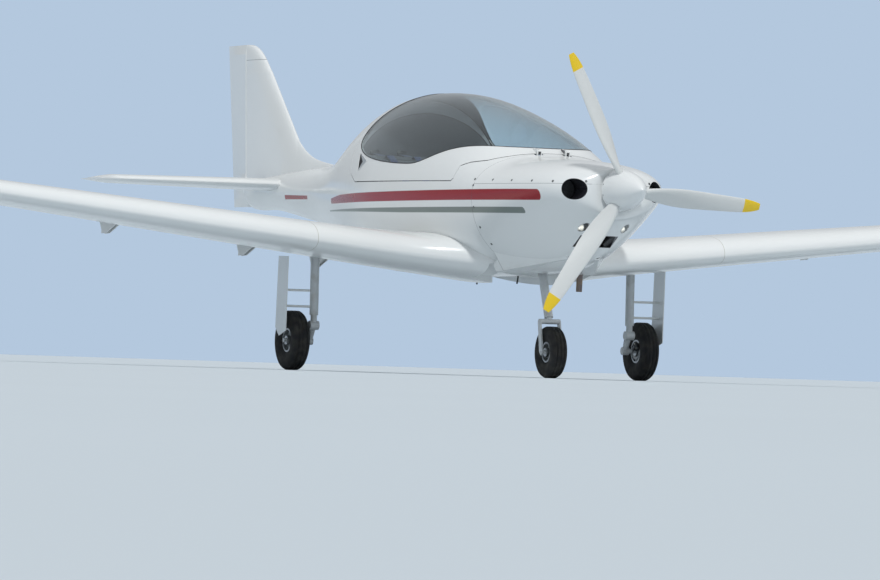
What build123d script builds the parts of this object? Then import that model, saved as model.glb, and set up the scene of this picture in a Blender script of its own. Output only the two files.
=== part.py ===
"""Two-seat low-wing microlight aircraft with retractable gear, standing on its wheels.

Millimetres. +X is the aircraft's left side, +Y is aft, +Z is up. The floor is z = 0, the plane
of symmetry is x = 0, and y = 0 is halfway between the spinner's tip and the rudder's rear corner.
Sizes along the aircraft are stations: distances aft of the spinner's tip. Heights marked rel
are measured from the propeller's axis.
"""

from build123d import *

import os
from math import cos, radians, sin, tan

# Driving sizes
LENGTH = 6400.0
SPAN = 9000.0
HUB_HEIGHT = 1080.0
SKIN = 10.0
GLASS = 4.0
PANEL_GAP = 0.4
MOVING_GAP = 5.0
PIN_PLAY = 0.05
SEAT_PLAY = 0.3

# Cowling and firewall
COWL_FRONT = 325.0
FIREWALL_STATION = 1260.0
FIREWALL_THICKNESS = 6.0
COWL_SPLIT_REL = 30.0
SHAFT_RADIUS = 28.0
INTAKE_RADIUS = 60.0
INTAKE_SPREAD = 252.0
INTAKE_REL = 0.0
INTAKE_DUCT_END = 560.0

DUCT_WALL = 3.0
COWL_BORE = 60.0
SCOOP_HALF_WIDTHS = (118.0, 95.0)
SCOOP_RELS = (-322.0, -258.0)
SCOOP_START = 380.0
SCOOP_END = 760.0
EXIT_HALF_WIDTH = 335.0
EXIT_ROOF_REL = -400.0
EXIT_END = 1620.0
LIP_START = 780.0
LIP_END = 1310.0
LIP_REL = -466.0
LIP_HALF_WIDTH = 306.0
LIP_TOP_HALF_WIDTH = 372.0
LIP_WALL = 6.0

# Propeller and spinner
SPINNER_LENGTH = 300.0
SPINNER_RADIUS = 120.0
PROPELLER_DIAMETER = 1690.0
BLADE_STATION = 228.0
BLADE_ANGLES = (116.0, -4.0, -124.0)
SHAFT_END = 190.0

# Blade sections: distance from the axis, chord, thickness and pitch
BLADE_SECTIONS = (
    (92.0, 62.0, 34.0, 46.0),
    (190.0, 98.0, 24.0, 42.0),
    (360.0, 118.0, 17.0, 29.0),
    (600.0, 96.0, 12.0, 18.0),
    (780.0, 70.0, 8.0, 14.0),
    (PROPELLER_DIAMETER / 2, 36.0, 4.0, 12.5),
)

# Wing
WING_ROOT_CHORD = 1520.0
WING_TIP_CHORD = 770.0
WING_ROOT_EDGE = 1560.0
WING_TIP_EDGE = 1800.0
WING_ROOT_REL = -455.0
WING_DIHEDRAL = 6.0
WING_ROOT_THICKNESS = 0.155
WING_TIP_THICKNESS = 0.125
PANEL_JOINT = 1300.0
FLARE_START = 200.0
FLARE_END = 1000.0
FLARE_RIBS = 6
FLARE_REACH = 330.0
FLOOR_HALF = 560.0
WELL_MIDDLE = 640.0
WELL_DEPTH = 128.0
TIP_CAP = 130.0

# Tie-down points under the wing
TIE_DOWN_X = 2500.0
TIE_DOWN_CHORD = 0.3
TIE_DOWN_DROP = 66.0
TIE_DOWN_DEPTH = 25.0
TIE_DOWN_BOSS = 18.0
TIE_DOWN_RADIUS = 3.4

# Flaps and ailerons, as fractions of the chord and distances from the middle
HINGE_FRACTION = 0.76
FLAP_SPAN = (720.0, 2777.0)
AILERON_SPAN = (2788.0, 4230.0)
END_MARGIN = 60.0
FLAP_DROP = 38.0

HINGE_MIDDLE = 0.047
HINGE_HALF = 0.231
HINGE_PIN = 4.0
FLAP_PIVOT_DROP = 55.0
HORN_HALF = 6.0
CHEEK_THICKNESS = 5.0
FLAP_BRACKETS = (900.0, 1380.0, 2270.0)
AILERON_HINGES = (2900.0, 3510.0, 4120.0)
LUG_THICKNESS = 6.0

# Tail
TAILPLANE_SPAN = 2400.0
TAILPLANE_REL = 80.0
TAILPLANE_ROOT_EDGE = 5100.0
TAILPLANE_TIP_EDGE = 5320.0
TAILPLANE_ROOT_CHORD = 800.0
TAILPLANE_TIP_CHORD = 520.0
TAILPLANE_THICKNESS = 0.10
ELEVATOR_HINGE_STATION = 5620.0
ELEVATOR_ROOT_OFFSET = 118.0
TORQUE_TUBE_RADIUS = 14.0
RUDDER_HINGE_FOOT = (5915.0, -50.0)
RUDDER_HINGE_HEAD = (6040.0, 860.0)
RUDDER_RAKE = 0.17
RUDDER_HINGES = (330.0, 760.0)
ELEVATOR_NOSE = 28.0
ELEVATOR_HINGES = (420.0, 960.0)
TAIL_TIP = 60.0
FIN_TOP_REL = 985.0
FIN_HALF_ROOT = 48.0
FIN_HALF_TIP = 27.0

# The fin's straight leading edge and swept cap: height rel, station and thinning
FIN_STRAIGHT = ((80.0, 4860.0), (800.0, 5658.0))
FIN_CAP = (
    (880.0, 5760.0, 0.97),
    (940.0, 5855.0, 0.9),
    (972.0, 5940.0, 0.75),
    (FIN_TOP_REL, 6030.0, 0.55),
)

# The ridge ahead of the fin: station, top rel and half width
DORSAL_ROWS = (
    (4350.0, 188.0, 10.0),
    (4600.0, 203.0, 17.0),
    (4850.0, 236.0, 26.0),
    (5060.0, 302.0, 33.0),
    (5230.0, 402.0, 38.0),
    (5330.0, 470.0, 41.0),
)

# Landing gear
WHEEL_TRACK = 2260.0
MAIN_WHEEL_STATION = 2400.0
MAIN_TYRE_RADIUS = 175.0
MAIN_TYRE_WIDTH = 105.0
NOSE_WHEEL_STATION = 1200.0
NOSE_TYRE_RADIUS = 150.0
NOSE_TYRE_WIDTH = 95.0
LEG_STATION = 2350.0
SLOT_HALF = 62.0
LEG_OFFSET = 108.0
LEG_RADIUS = 26.0
AXLE_RADIUS = 12.5
MAIN_RIM_RADIUS = 70.0
NOSE_RIM_RADIUS = 60.0
NOSE_LEG_TOP = (1365.0, -446.0)
NOSE_TRAIL = 40.0
FORK_HALF = 66.0
FORK_PLATE = 9.0
CROWN_REACH = 205.0
TOW_BORE = 5.0
TOW_BORE_DEPTH = 20.0
RIM_HOLES = 6
DOOR_FOOT = 200.0
DOOR_THICKNESS = 5.0
STEERING_RATIO = 0.7

# Engine bay and cabin
FIREWALL_PLATE = (FIREWALL_STATION + 1.5, FIREWALL_STATION + 1.5 + FIREWALL_THICKNESS)
ENGINE = (205.0, (665.0, 1090.0), (-198.0, 70.0))
GEARBOX_FRONT = 430.0
PIPE_TOP = (215.0, 1150.0, -400.0)
PIPE_KNEE = (235.0, 1345.0, -444.0)
PIPE_FOOT = (235.0, 1352.0, -572.0)
PIPE_RADIUS = 18.0
SILENCER_RADIUS = 50.0
SILENCER_HALF = 200.0
LAMP_SPREAD = 129.0
LAMP_STATION = 540.0
LAMP_REL = -213.0
LAMP_RADIUS = 26.0
FLOOR = (-241.0, -235.0)
BULKHEAD = (3100.0, 3108.0)
PANEL_STATION = 1545.0
SEAT_SPREAD = 262.0
SEAT_WIDTH = 430.0
SEAT_OUTLINE = (
    (1990.0, -234.6),
    (2020.0, -95.0),
    (2440.0, -125.0),
    (2860.0, 250.0),
    (2925.0, 225.0),
    (2600.0, -200.0),
    (2560.0, -234.6),
)
PITOT_X = 2650.0

# Dials on the panel: x, height rel and radius
DIALS = (
    (-330.0, 85.0, 40.0),
    (-230.0, 95.0, 40.0),
    (-230.0, 0.0, 40.0),
    (-330.0, -10.0, 40.0),
    (-110.0, 110.0, 28.0),
    (-110.0, 45.0, 28.0),
    (0.0, 110.0, 28.0),
    (0.0, 45.0, 28.0),
    (120.0, 90.0, 34.0),
)

# Aerials and drains under the belly: x, station, and the height rel of top and foot
PROBES = (
    (0.0, 1700.0, -482.0, -533.0),
    (-60.0, 2150.0, -483.0, -539.0),
    (60.0, 3250.0, -409.0, -452.0),
)

# Canopy: the panel's outline in side view, as (station, rel) corners, and its front hinge
CANOPY_OUTLINE = (
    (1150.0, 400.0),
    (1262.0, 226.0),
    (1290.0, 195.0),
    (1340.0, 168.0),
    (1440.0, 155.0),
    (1500.0, 135.0),
    (1508.0, 62.0),
    (1530.0, 46.0),
    (2950.0, 54.0),
    (3090.0, 110.0),
    (3160.0, 230.0),
    (3170.0, 750.0),
    (1150.0, 750.0),
)
CANOPY_HINGE = (1254.0, 232.0)
CANOPY_HINGE_SPREAD = 90.0
CANOPY_OPENING = 50.0
HINGE_EYE = 9.0
TONGUE_HALF = 8.0

# Fuselage stations: station, widest height rel, half width, top rel, bottom rel, and how full
# the upper and lower corners are (0.552 is an ellipse, less is sharper, more is boxier)
STATIONS = (
    (COWL_FRONT, -5.0, 138.0, 128.0, -145.0, 0.552, 0.552),
    (375.0, -5.0, 262.0, 131.0, -172.0, 0.56, 0.50),
    (460.0, 0.0, 332.0, 145.0, -208.0, 0.58, 0.46),
    (600.0, 0.0, 382.0, 162.0, -300.0, 0.60, 0.42),
    (800.0, -10.0, 428.0, 178.0, -405.0, 0.60, 0.42),
    (1000.0, -20.0, 465.0, 187.0, -452.0, 0.60, 0.48),
    (1250.0, -35.0, 505.0, 215.0, -474.0, 0.60, 0.58),
    (1500.0, -50.0, 535.0, 340.0, -485.0, 0.58, 0.64),
    (1900.0, -60.0, 570.0, 485.0, -490.0, 0.57, 0.66),
    (2350.0, -60.0, 580.0, 580.0, -490.0, 0.56, 0.66),
    (2750.0, -50.0, 565.0, 605.0, -475.0, 0.56, 0.64),
    (3150.0, -30.0, 510.0, 575.0, -430.0, 0.56, 0.62),
    (3550.0, -10.0, 430.0, 455.0, -360.0, 0.56, 0.62),
    (3950.0, 0.0, 330.0, 285.0, -290.0, 0.56, 0.60),
    (4400.0, 20.0, 235.0, 200.0, -200.0, 0.56, 0.58),
    (4800.0, 26.0, 185.0, 178.0, -148.0, 0.56, 0.575),
    (5200.0, 30.0, 140.0, 160.0, -100.0, 0.56, 0.57),
    (5550.0, 35.0, 104.0, 142.0, -75.0, 0.56, 0.565),
    (5895.0, 40.0, 70.0, 125.0, -52.0, 0.56, 0.56),
)


def along(station):
    """Y of a station."""
    return station - LENGTH / 2


def height(rel):
    """Z of a height measured from the propeller's axis."""
    return HUB_HEIGHT + rel


def side_point(x, station, rel):
    return Vector(x, along(station), height(rel))


def block(x_range, station_range, rel_range):
    """An upright box between two x, two stations and two heights."""
    low = side_point(x_range[0], station_range[0], rel_range[0])
    high = side_point(x_range[1], station_range[1], rel_range[1])
    size = high - low
    return Pos(*((low + high) / 2)) * Box(size.X, size.Y, size.Z)


def rod(start, end, radius):
    """A round bar between two points."""
    start, end = Vector(*start), Vector(*end)
    plane = Plane(origin=start, z_dir=end - start)
    return extrude(plane * Circle(radius), (end - start).length)


def tube_between(start, end, radius, bore):
    return rod(start, end, radius) - rod(start, end, bore)


def side_profile(points):
    """A flat face in the plane of symmetry from (station, rel) corners."""
    return make_face(Polyline(*[side_point(0, s, r) for s, r in points], close=True))


def across(face, x_low, x_high):
    """A side-view face made solid between two x."""
    return Pos(x_low, 0, 0) * extrude(face, x_high - x_low, dir=(1, 0, 0))


def mirrored(shape):
    return mirror(shape, about=Plane.YZ)


def hull_wire(row, inset):
    """One fuselage section: four quarter curves round the widest points, top and bottom."""
    station, middle, half, top, bottom, full_top, full_low = row
    half, top, bottom = half - inset, top - inset, bottom + inset

    def corner(x, rel):
        return side_point(x, station, rel)

    def quarter(side, edge, full):
        return (
            corner(side * half, middle),
            corner(side * half, middle + full * (edge - middle)),
            corner(side * full * half, edge),
            corner(0, edge),
        )

    upper_left, upper_right = quarter(1, top, full_top), quarter(-1, top, full_top)
    lower_left, lower_right = quarter(1, bottom, full_low), quarter(-1, bottom, full_low)
    edges = [
        Bezier(*upper_left),
        Bezier(*reversed(upper_right)),
        Bezier(*lower_right),
        Bezier(*reversed(lower_left)),
    ]
    return Wire(edges)


def hull(inset):
    """The fuselage's smooth form, drawn in by inset all round and at both ends."""
    shifts = [inset] + [0] * (len(STATIONS) - 2) + [-inset]
    rows = [(row[0] + shift, *row[1:]) for row, shift in zip(STATIONS, shifts)]
    return Solid.make_loft([hull_wire(row, inset) for row in rows])


OUTER = hull(0)
SHELL = OUTER - hull(SKIN)
GLASS_SHELL = OUTER - hull(GLASS)


# Everything ahead of the firewall's joint, and everything behind it
FAR = 900.0
BEHIND_TAIL = LENGTH + 100.0
JOINT_FRONT = FIREWALL_STATION - PANEL_GAP / 2
JOINT_REAR = FIREWALL_STATION + PANEL_GAP / 2


def canopy_prism(inset):
    """The space that the canopy panel fills, drawn in by inset, as a bar across the cabin."""
    face = side_profile(CANOPY_OUTLINE)
    if inset:
        face = offset(face, -inset, kind=Kind.INTERSECTION)
    return across(face, -FAR, FAR)


def glass_prism(inset):
    """The space over the glass: its lower and rear edges are curves, drawn in by inset."""

    def spot(station, rel, ahead=0.0, up=1.0):
        return side_point(0, station - ahead * inset, rel + up * inset)

    front, sill_front = spot(1180, 246), spot(1450, 258)
    step, sill_rear = spot(2120, 156), spot(3100, 350, 1, 0)
    roof = spot(2600, 740, 0.5, -1)
    edge = [
        Line(front, sill_front),
        Bezier(sill_front, spot(1780, 268), spot(1900, 152), step),
        Bezier(step, spot(2450, 160), spot(3120, 200, 1), sill_rear),
        Bezier(sill_rear, spot(3090, 480, 1, -0.3), spot(2900, 570, 0.5, -1), roof),
        Polyline(roof, spot(1180, 740), front),
    ]
    return across(make_face(edge), -FAR, FAR)


def exit_ramp(grow):
    """The recess under the firewall where cooling air leaves and the nose leg stands."""
    half = EXIT_HALF_WIDTH + grow
    corners = (
        (FIREWALL_STATION - 50, EXIT_ROOF_REL + grow),
        (FIREWALL_STATION, EXIT_ROOF_REL + grow),
        (EXIT_END, -495.0 + grow),
        (EXIT_END, -600.0),
        (FIREWALL_STATION - 50, -600.0),
    )
    return across(side_profile(corners), -half, half)


def shell_between(low, high):
    return SHELL & block((-FAR, FAR), (low, high), (-FAR, FAR))


def fuselage_shell():
    shell = shell_between(JOINT_REAR, BEHIND_TAIL)
    ramp = (exit_ramp(SKIN) - exit_ramp(0)) & OUTER
    ramp = ramp & block((-FAR, FAR), (JOINT_REAR, BEHIND_TAIL), (-FAR, FAR))
    shell = (shell - exit_ramp(0)) + ramp
    return shell - canopy_prism(0)


def intake_duct(side):
    """The round intake's short duct, cut to the cowling's form at its mouth."""
    axis_x = side * INTAKE_SPREAD
    start = side_point(axis_x, COWL_FRONT - 40, INTAKE_REL)
    end = side_point(axis_x, INTAKE_DUCT_END, INTAKE_REL)
    return tube_between(start, end, INTAKE_RADIUS + DUCT_WALL, INTAKE_RADIUS) & OUTER


def intake_hole(side):
    axis_x = side * INTAKE_SPREAD
    start = side_point(axis_x, COWL_FRONT - 40, INTAKE_REL)
    return rod(start, side_point(axis_x, INTAKE_DUCT_END + 1, INTAKE_REL), INTAKE_RADIUS)


def scoop_bar(grow):
    """The chin scoop's passage: wider at its lip than at its roof."""
    half_low, half_top = SCOOP_HALF_WIDTHS
    low, top = SCOOP_RELS
    face = make_face(
        Polyline(
            side_point(-half_low - grow, SCOOP_START, low - grow),
            side_point(half_low + grow, SCOOP_START, low - grow),
            side_point(half_top + grow, SCOOP_START, top + grow),
            side_point(-half_top - grow, SCOOP_START, top + grow),
            close=True,
        )
    )
    return extrude(face, SCOOP_END - SCOOP_START, dir=(0, 1, 0))


def exit_lip(grow):
    """The flat flared lip under the cowling, where the cooling air leaves."""

    def frame_at(station, half_top, half_low, low):
        return Wire(
            Polyline(
                side_point(-half_top - grow, station, EXIT_ROOF_REL + 40),
                side_point(half_top + grow, station, EXIT_ROOF_REL + 40),
                side_point(half_low + grow, station, low - grow),
                side_point(-half_low - grow, station, low - grow),
                close=True,
            ).edges()
        )

    front = frame_at(LIP_START, 120, 90, -385)
    rear = frame_at(LIP_END, LIP_TOP_HALF_WIDTH, LIP_HALF_WIDTH, LIP_REL)
    return Solid.make_loft([front, rear], ruled=True)


def cowling():
    """Both halves of the cowling before they are parted."""
    shell = shell_between(0, JOINT_FRONT)
    bore = rod(side_point(0, 0, 0), side_point(0, COWL_FRONT + 40, 0), COWL_BORE)
    shell = shell + exit_lip(LIP_WALL) - exit_lip(0) - bore
    for side in (-1, 1):
        shell = shell - intake_hole(side) + intake_duct(side)
    scoop = (scoop_bar(DUCT_WALL) - scoop_bar(0)) & OUTER
    return shell - scoop_bar(0) + scoop


def lip_tray():
    """The lip's rear end, which reaches aft of the firewall under the exit's roof."""
    tray = (exit_lip(LIP_WALL) - exit_lip(0)) & exit_ramp(-1.0)
    half = EXIT_HALF_WIDTH - MOVING_GAP
    return tray & block((-half, half), (JOINT_FRONT - 2, LIP_END), (-FAR, FAR))


def upper_half(shape):
    return shape & block((-FAR, FAR), (0, JOINT_FRONT), (COWL_SPLIT_REL + PANEL_GAP / 2, FAR))


def lower_half(shape):
    lower = shape & block((-FAR, FAR), (0, JOINT_FRONT), (-FAR, COWL_SPLIT_REL - PANEL_GAP / 2))
    return lower + lip_tray()


def canopy_frame():
    panel = (SHELL & canopy_prism(MOVING_GAP)) - glass_prism(0)
    for x in (-CANOPY_HINGE_SPREAD, CANOPY_HINGE_SPREAD):
        panel = panel + hinge_tongue(x)
    return panel


def canopy_glass():
    return GLASS_SHELL & glass_prism(SEAT_PLAY)


def hinge_pin_points(x, half):
    station, rel = CANOPY_HINGE
    return side_point(x - half, station, rel), side_point(x + half, station, rel)


def hinge_tongue(x):
    """The canopy's half of a front hinge: a tongue from its edge with the pin through its eye."""
    station, rel = CANOPY_HINGE
    eye = rod(*hinge_pin_points(x, TONGUE_HALF), HINGE_EYE)
    arm = across(
        side_profile(
            (
                (station, rel + HINGE_EYE),
                (station + 75, rel + 22),
                (station + 75, rel - 8),
                (station + 20, rel - HINGE_EYE - 4),
                (station, rel - HINGE_EYE),
            )
        ),
        x - TONGUE_HALF,
        x + TONGUE_HALF,
    )
    pin = rod(*hinge_pin_points(x, TONGUE_HALF + LUG_THICKNESS + 2), HINGE_PIN)
    return eye + arm + pin


def hinge_lugs(x):
    """The airframe's half: two lugs either side of the tongue, on a foot under the skin."""
    station, rel = CANOPY_HINGE
    lugs = []
    for side in (-1, 1):
        inner = x + side * (TONGUE_HALF + 1.0)
        outer = inner + side * LUG_THICKNESS
        low, high = min(inner, outer), max(inner, outer)
        eye = rod(side_point(low, station, rel), side_point(high, station, rel), HINGE_EYE)
        stem = block((low, high), (station - HINGE_EYE, FIREWALL_PLATE[0] + 1), (rel - 60, rel))
        lugs.append(eye + stem)
    bore = rod(*hinge_pin_points(x, 80), HINGE_PIN + PIN_PLAY)
    return lugs[0] + lugs[1] - bore


# Wing
def wing_fraction(x):
    return abs(x) / (SPAN / 2)


def chord_at(x):
    return WING_ROOT_CHORD + (WING_TIP_CHORD - WING_ROOT_CHORD) * wing_fraction(x)


def edge_at(x):
    """Station of the leading edge."""
    return WING_ROOT_EDGE + (WING_TIP_EDGE - WING_ROOT_EDGE) * wing_fraction(x)


def thickness_at(x):
    return WING_ROOT_THICKNESS + (WING_TIP_THICKNESS - WING_ROOT_THICKNESS) * wing_fraction(x)


def plane_rel_at(x):
    """Height of the wing's chord line."""
    return WING_ROOT_REL + abs(x) * tan(radians(WING_DIHEDRAL))


def foil_wire(x, chord, edge, rel, thick, lift=0.0):
    """A wing or tail section: upper curve, lower curve and a thin blunt trailing edge."""

    def spot(along_chord, up):
        return side_point(x, edge + along_chord * chord, rel + up * chord + lift)

    tail = 0.0025
    upper = Bezier(spot(0, 0), spot(0, 0.75 * thick), spot(0.32, 0.86 * thick), spot(1, tail))
    back = Line(spot(1, tail), spot(1, -tail))
    lower = Bezier(spot(1, -tail), spot(0.35, -0.55 * thick), spot(0, -0.55 * thick), spot(0, 0))
    return Wire([upper, back, lower])


def rib(x):
    return foil_wire(x, chord_at(x), edge_at(x), plane_rel_at(x), thickness_at(x))


def wing_span_piece(x_low, x_high):
    return Solid.make_loft([rib(x_low), rib(x_high)], ruled=True)


def wing_tip():
    """The raked, rounded cap: its front edge sweeps back while its rear edge stays."""
    start = SPAN / 2 - TIP_CAP
    wires = []
    for share in (0.0, 0.45, 0.8, 1.0):
        x = start + share * TIP_CAP
        full = chord_at(x)
        kept = (1 - 0.72 * share**2.6)
        edge = edge_at(x) + full * (1 - kept) * 0.93
        thick = thickness_at(x) * (1 - 0.45 * share**2)
        wires.append(foil_wire(x, full * kept, edge, plane_rel_at(x), thick, 10 * share**2))
    return Solid.make_loft(wires)


def hinge_spot(x):
    """Station, height and half thickness of the wing where its control surfaces part."""
    chord, thick = chord_at(x), thickness_at(x)
    station = edge_at(x) + HINGE_FRACTION * chord
    rel = plane_rel_at(x) + HINGE_MIDDLE * thick * chord
    return station, rel, (HINGE_HALF * thick + 0.002) * chord


def hinge_point(x):
    station, rel, _ = hinge_spot(x)
    return side_point(x, station, rel)


def flap_pivot(x):
    """Where the flap's pivot would lie at x, carried below the wing."""
    station, rel, half = hinge_spot(x)
    return side_point(x, station + 20.0, rel - half - FLAP_PIVOT_DROP)


def nose_ends(span):
    """A little beyond both ends of a control surface, so that square cuts leave it whole."""
    return span[0] - END_MARGIN, span[1] + END_MARGIN


FLAP_LINE = tuple(flap_pivot(x) for x in (FLAP_BRACKETS[0], FLAP_BRACKETS[-1]))
AILERON_LINE = tuple(hinge_point(x) for x in nose_ends(AILERON_SPAN))


def on_line(line, x):
    """The point of a hinge line at a distance x from the middle."""
    inner, outer = line
    return inner + (outer - inner) * ((x - inner.X) / (outer.X - inner.X))


def square_plane(line, x):
    """The plane square to a hinge line at x: its own X points aft and its own Y up."""
    inner, outer = line
    return Plane(origin=on_line(line, x), x_dir=(0, 1, 0), z_dir=outer - inner)


def hinge_plate(line, x, corners, low, high):
    """A plate square to a hinge line, from (aft, up) corners about the line."""
    plane = square_plane(line, x)
    face = plane.offset(low) * make_face(Polyline(*corners, close=True))
    return extrude(face, high - low, dir=plane.z_dir)


def hinge_rod(line, x, reach, radius):
    """A round bar along a hinge line, as far as reach on both sides of x."""
    return extrude(square_plane(line, x).offset(-reach) * Circle(radius), 2 * reach)


def between(line, span, grow=0.0):
    """Everything between two planes square to a hinge line, at the two ends of a span."""
    length = (on_line(line, span[1]) - on_line(line, span[0])).length + 2 * grow
    start = square_plane(line, span[0]).offset(-grow)
    return extrude(start * Rectangle(3000, 3000), length)


def hinge_cone(span, grow):
    """The rounded nose of a control surface, or with grow the hollow that it turns in."""
    wires = []
    for x in nose_ends(span):
        plane = Plane(origin=hinge_point(x), x_dir=(0, 1, 0), z_dir=(1, 0, 0))
        wires.append((plane * Circle(hinge_spot(x)[2] + grow)).wire())
    return Solid.make_loft(wires, ruled=True)


def behind_hinge(span, shift=0.0):
    """Everything aft of the hinge line of a control surface."""
    (x_low, x_high), rear = nose_ends(span), 3600.0
    low, high = hinge_spot(x_low)[0] + shift, hinge_spot(x_high)[0] + shift
    corners = [(x_low, low), (x_high, high), (x_high, rear), (x_low, rear)]
    face = make_face(Polyline(*[side_point(x, st, -700) for x, st in corners], close=True))
    return extrude(face, 1400, dir=(0, 0, 1))


def surface(span, line):
    """A flap or aileron cut from the wing's own form, with its rounded nose and square ends."""
    blank = wing_span_piece(*nose_ends(span))
    whole = (blank & behind_hinge(span)) + (blank & hinge_cone(span, 0))
    return whole & between(line, span)


def surface_room(span, line):
    room = behind_hinge(span, -0.5) + hinge_cone(span, MOVING_GAP)
    return room & between(line, span, MOVING_GAP)


def about_pivot(line, x):
    """Where the middle of the surface's nose lies from the hinge line, aft and up."""
    offset = hinge_point(x) - on_line(line, x)
    return offset.Y, offset.Z


def flap_bracket(x):
    """A fin under the wing that carries the flap's pivot between two cheeks."""
    (aft, up), half = about_pivot(FLAP_LINE, x), hinge_spot(x)[2]
    clear = half + MOVING_GAP + 3
    round_nose = [
        (aft + clear * cos(radians(turn)), up + clear * sin(radians(turn)))
        for turn in (195, 220, 245, 262)
    ]
    corners = [(aft - 230, up - half * 0.55), *round_nose, (13, 12), (10, -14), (-60, -10)]
    inner = HORN_HALF + 1.0
    outer = inner + CHEEK_THICKNESS
    left = hinge_plate(FLAP_LINE, x, corners, inner, outer)
    right = hinge_plate(FLAP_LINE, x, corners, -outer, -inner)
    return left + right - hinge_rod(FLAP_LINE, x, 40, HINGE_PIN + PIN_PLAY)


def flap_horn(x):
    """The flap's arm down to its pivot, with the pin through it."""
    aft, up = about_pivot(FLAP_LINE, x)
    corners = [(aft + 10, up), (aft + 120, up), (12, -10), (-11, -10), (-11, 12)]
    arm = hinge_plate(FLAP_LINE, x, corners, -HORN_HALF, HORN_HALF)
    return arm + hinge_rod(FLAP_LINE, x, HORN_HALF + CHEEK_THICKNESS + 1, HINGE_PIN)


def aileron_hinge(x):
    """A lug on the wing, and the pocket and pin in the aileron that it fits between."""
    half = hinge_spot(x)[2]
    thick, reach = LUG_THICKNESS / 2, half + 14
    stem = hinge_plate(
        AILERON_LINE, x, [(-reach, -9), (0, -9), (0, 9), (-reach, 9)], -thick, thick
    )
    lug = stem + hinge_rod(AILERON_LINE, x, thick, 9.0)
    lug = lug - hinge_rod(AILERON_LINE, x, 30, HINGE_PIN + PIN_PLAY)
    room = thick + 2.0
    pocket = hinge_plate(
        AILERON_LINE, x, [(-reach - 6, -34), (14, -34), (14, 34), (-reach - 6, 34)], -room, room
    )
    return lug, pocket, hinge_rod(AILERON_LINE, x, room + 3, HINGE_PIN)


def flared_rib(x):
    """A rib near the fuselage: its leading edge sweeps forward and its back thickens."""
    share = ((FLARE_END - abs(x)) / (FLARE_END - FLARE_START)) ** 2.2
    reach = FLARE_REACH * share
    chord = chord_at(x) + reach + 90.0 * share
    thick = thickness_at(x) * (1 + 0.30 * share) * chord_at(x) / chord
    return foil_wire(x, chord, edge_at(x) - reach, plane_rel_at(x), thick, 22.0 * share)


def centre_half():
    """The left half of the wing's centre section outside the fuselage."""
    width = (FLARE_END - FLARE_START) / (FLARE_RIBS - 1)
    flare = Solid.make_loft([flared_rib(FLARE_START + width * i) for i in range(FLARE_RIBS)])
    return (flare - CABIN) + wing_span_piece(FLARE_END, PANEL_JOINT - PANEL_GAP / 2)


def wheel_well():
    """The left wheel's round recess and its leg's slot, cut up into the wing."""
    well_x, slot_end = WELL_MIDDLE, WHEEL_TRACK / 2 + 20
    rel = plane_rel_at(well_x) - 120
    start = side_point(well_x, MAIN_WHEEL_STATION, rel)
    well = rod(start, start + Vector(0, 0, WELL_DEPTH), MAIN_TYRE_RADIUS + 12)
    slot = block(
        (well_x, slot_end),
        (LEG_STATION - SLOT_HALF, LEG_STATION + SLOT_HALF),
        (rel, plane_rel_at(slot_end) - 120 + WELL_DEPTH - 10),
    )
    return well + slot


def wing_centre_section():
    half = centre_half()
    across_cabin = wing_span_piece(-FLOOR_HALF, FLOOR_HALF)
    whole = half + mirrored(half) + across_cabin
    cuts = surface_room(FLAP_SPAN, FLAP_LINE) + wheel_well()
    whole = whole - cuts - mirrored(cuts) - exit_ramp(0)
    return whole - block((-FAR, FAR), (0, JOINT_REAR + MOVING_GAP), (-FAR, 0))


def tie_down(x):
    """A flat round boss under the wing, and the tapped hole for a lashing ring in it."""
    station = edge_at(x) + TIE_DOWN_CHORD * chord_at(x)
    rel = plane_rel_at(x) - TIE_DOWN_DROP
    face = side_point(x, station, rel)
    boss = rod(face, face + Vector(0, 0, TIE_DOWN_DEPTH + 15), TIE_DOWN_BOSS)
    return boss, rod(face - Vector(0, 0, 5), face + Vector(0, 0, TIE_DOWN_DEPTH), TIE_DOWN_RADIUS)


def wing_panel():
    tip_start = SPAN / 2 - TIP_CAP
    panel = wing_span_piece(PANEL_JOINT + PANEL_GAP / 2, tip_start) + wing_tip()
    panel = panel - surface_room(FLAP_SPAN, FLAP_LINE) - surface_room(AILERON_SPAN, AILERON_LINE)
    boss, hole = tie_down(TIE_DOWN_X)
    return panel + boss - hole


def left_flap():
    flap = surface(FLAP_SPAN, FLAP_LINE)
    for x in FLAP_BRACKETS:
        flap = flap + flap_horn(x)
    return flap


def left_aileron():
    aileron = surface(AILERON_SPAN, AILERON_LINE)
    for x in AILERON_HINGES:
        _, pocket, pin = aileron_hinge(x)
        aileron = aileron - pocket + pin
    return aileron


# Tail
def tail_wire(x, edge, chord, thick):
    """A tailplane section, the same above and below."""
    rel, tail = TAILPLANE_REL, 0.004 * chord

    def spot(share, up):
        return side_point(x, edge + share * chord, rel + up)

    rise = thick * chord
    upper = Bezier(spot(0, 0), spot(0, 0.62 * rise), spot(0.38, 0.75 * rise), spot(1, tail))
    lower = Bezier(spot(1, -tail), spot(0.38, -0.75 * rise), spot(0, -0.62 * rise), spot(0, 0))
    return Wire([upper, Line(spot(1, tail), spot(1, -tail)), lower])


def tail_half_span(x):
    share = x / (TAILPLANE_SPAN / 2)
    edge = TAILPLANE_ROOT_EDGE + (TAILPLANE_TIP_EDGE - TAILPLANE_ROOT_EDGE) * share
    chord = TAILPLANE_ROOT_CHORD + (TAILPLANE_TIP_CHORD - TAILPLANE_ROOT_CHORD) * share
    return edge, chord


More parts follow.
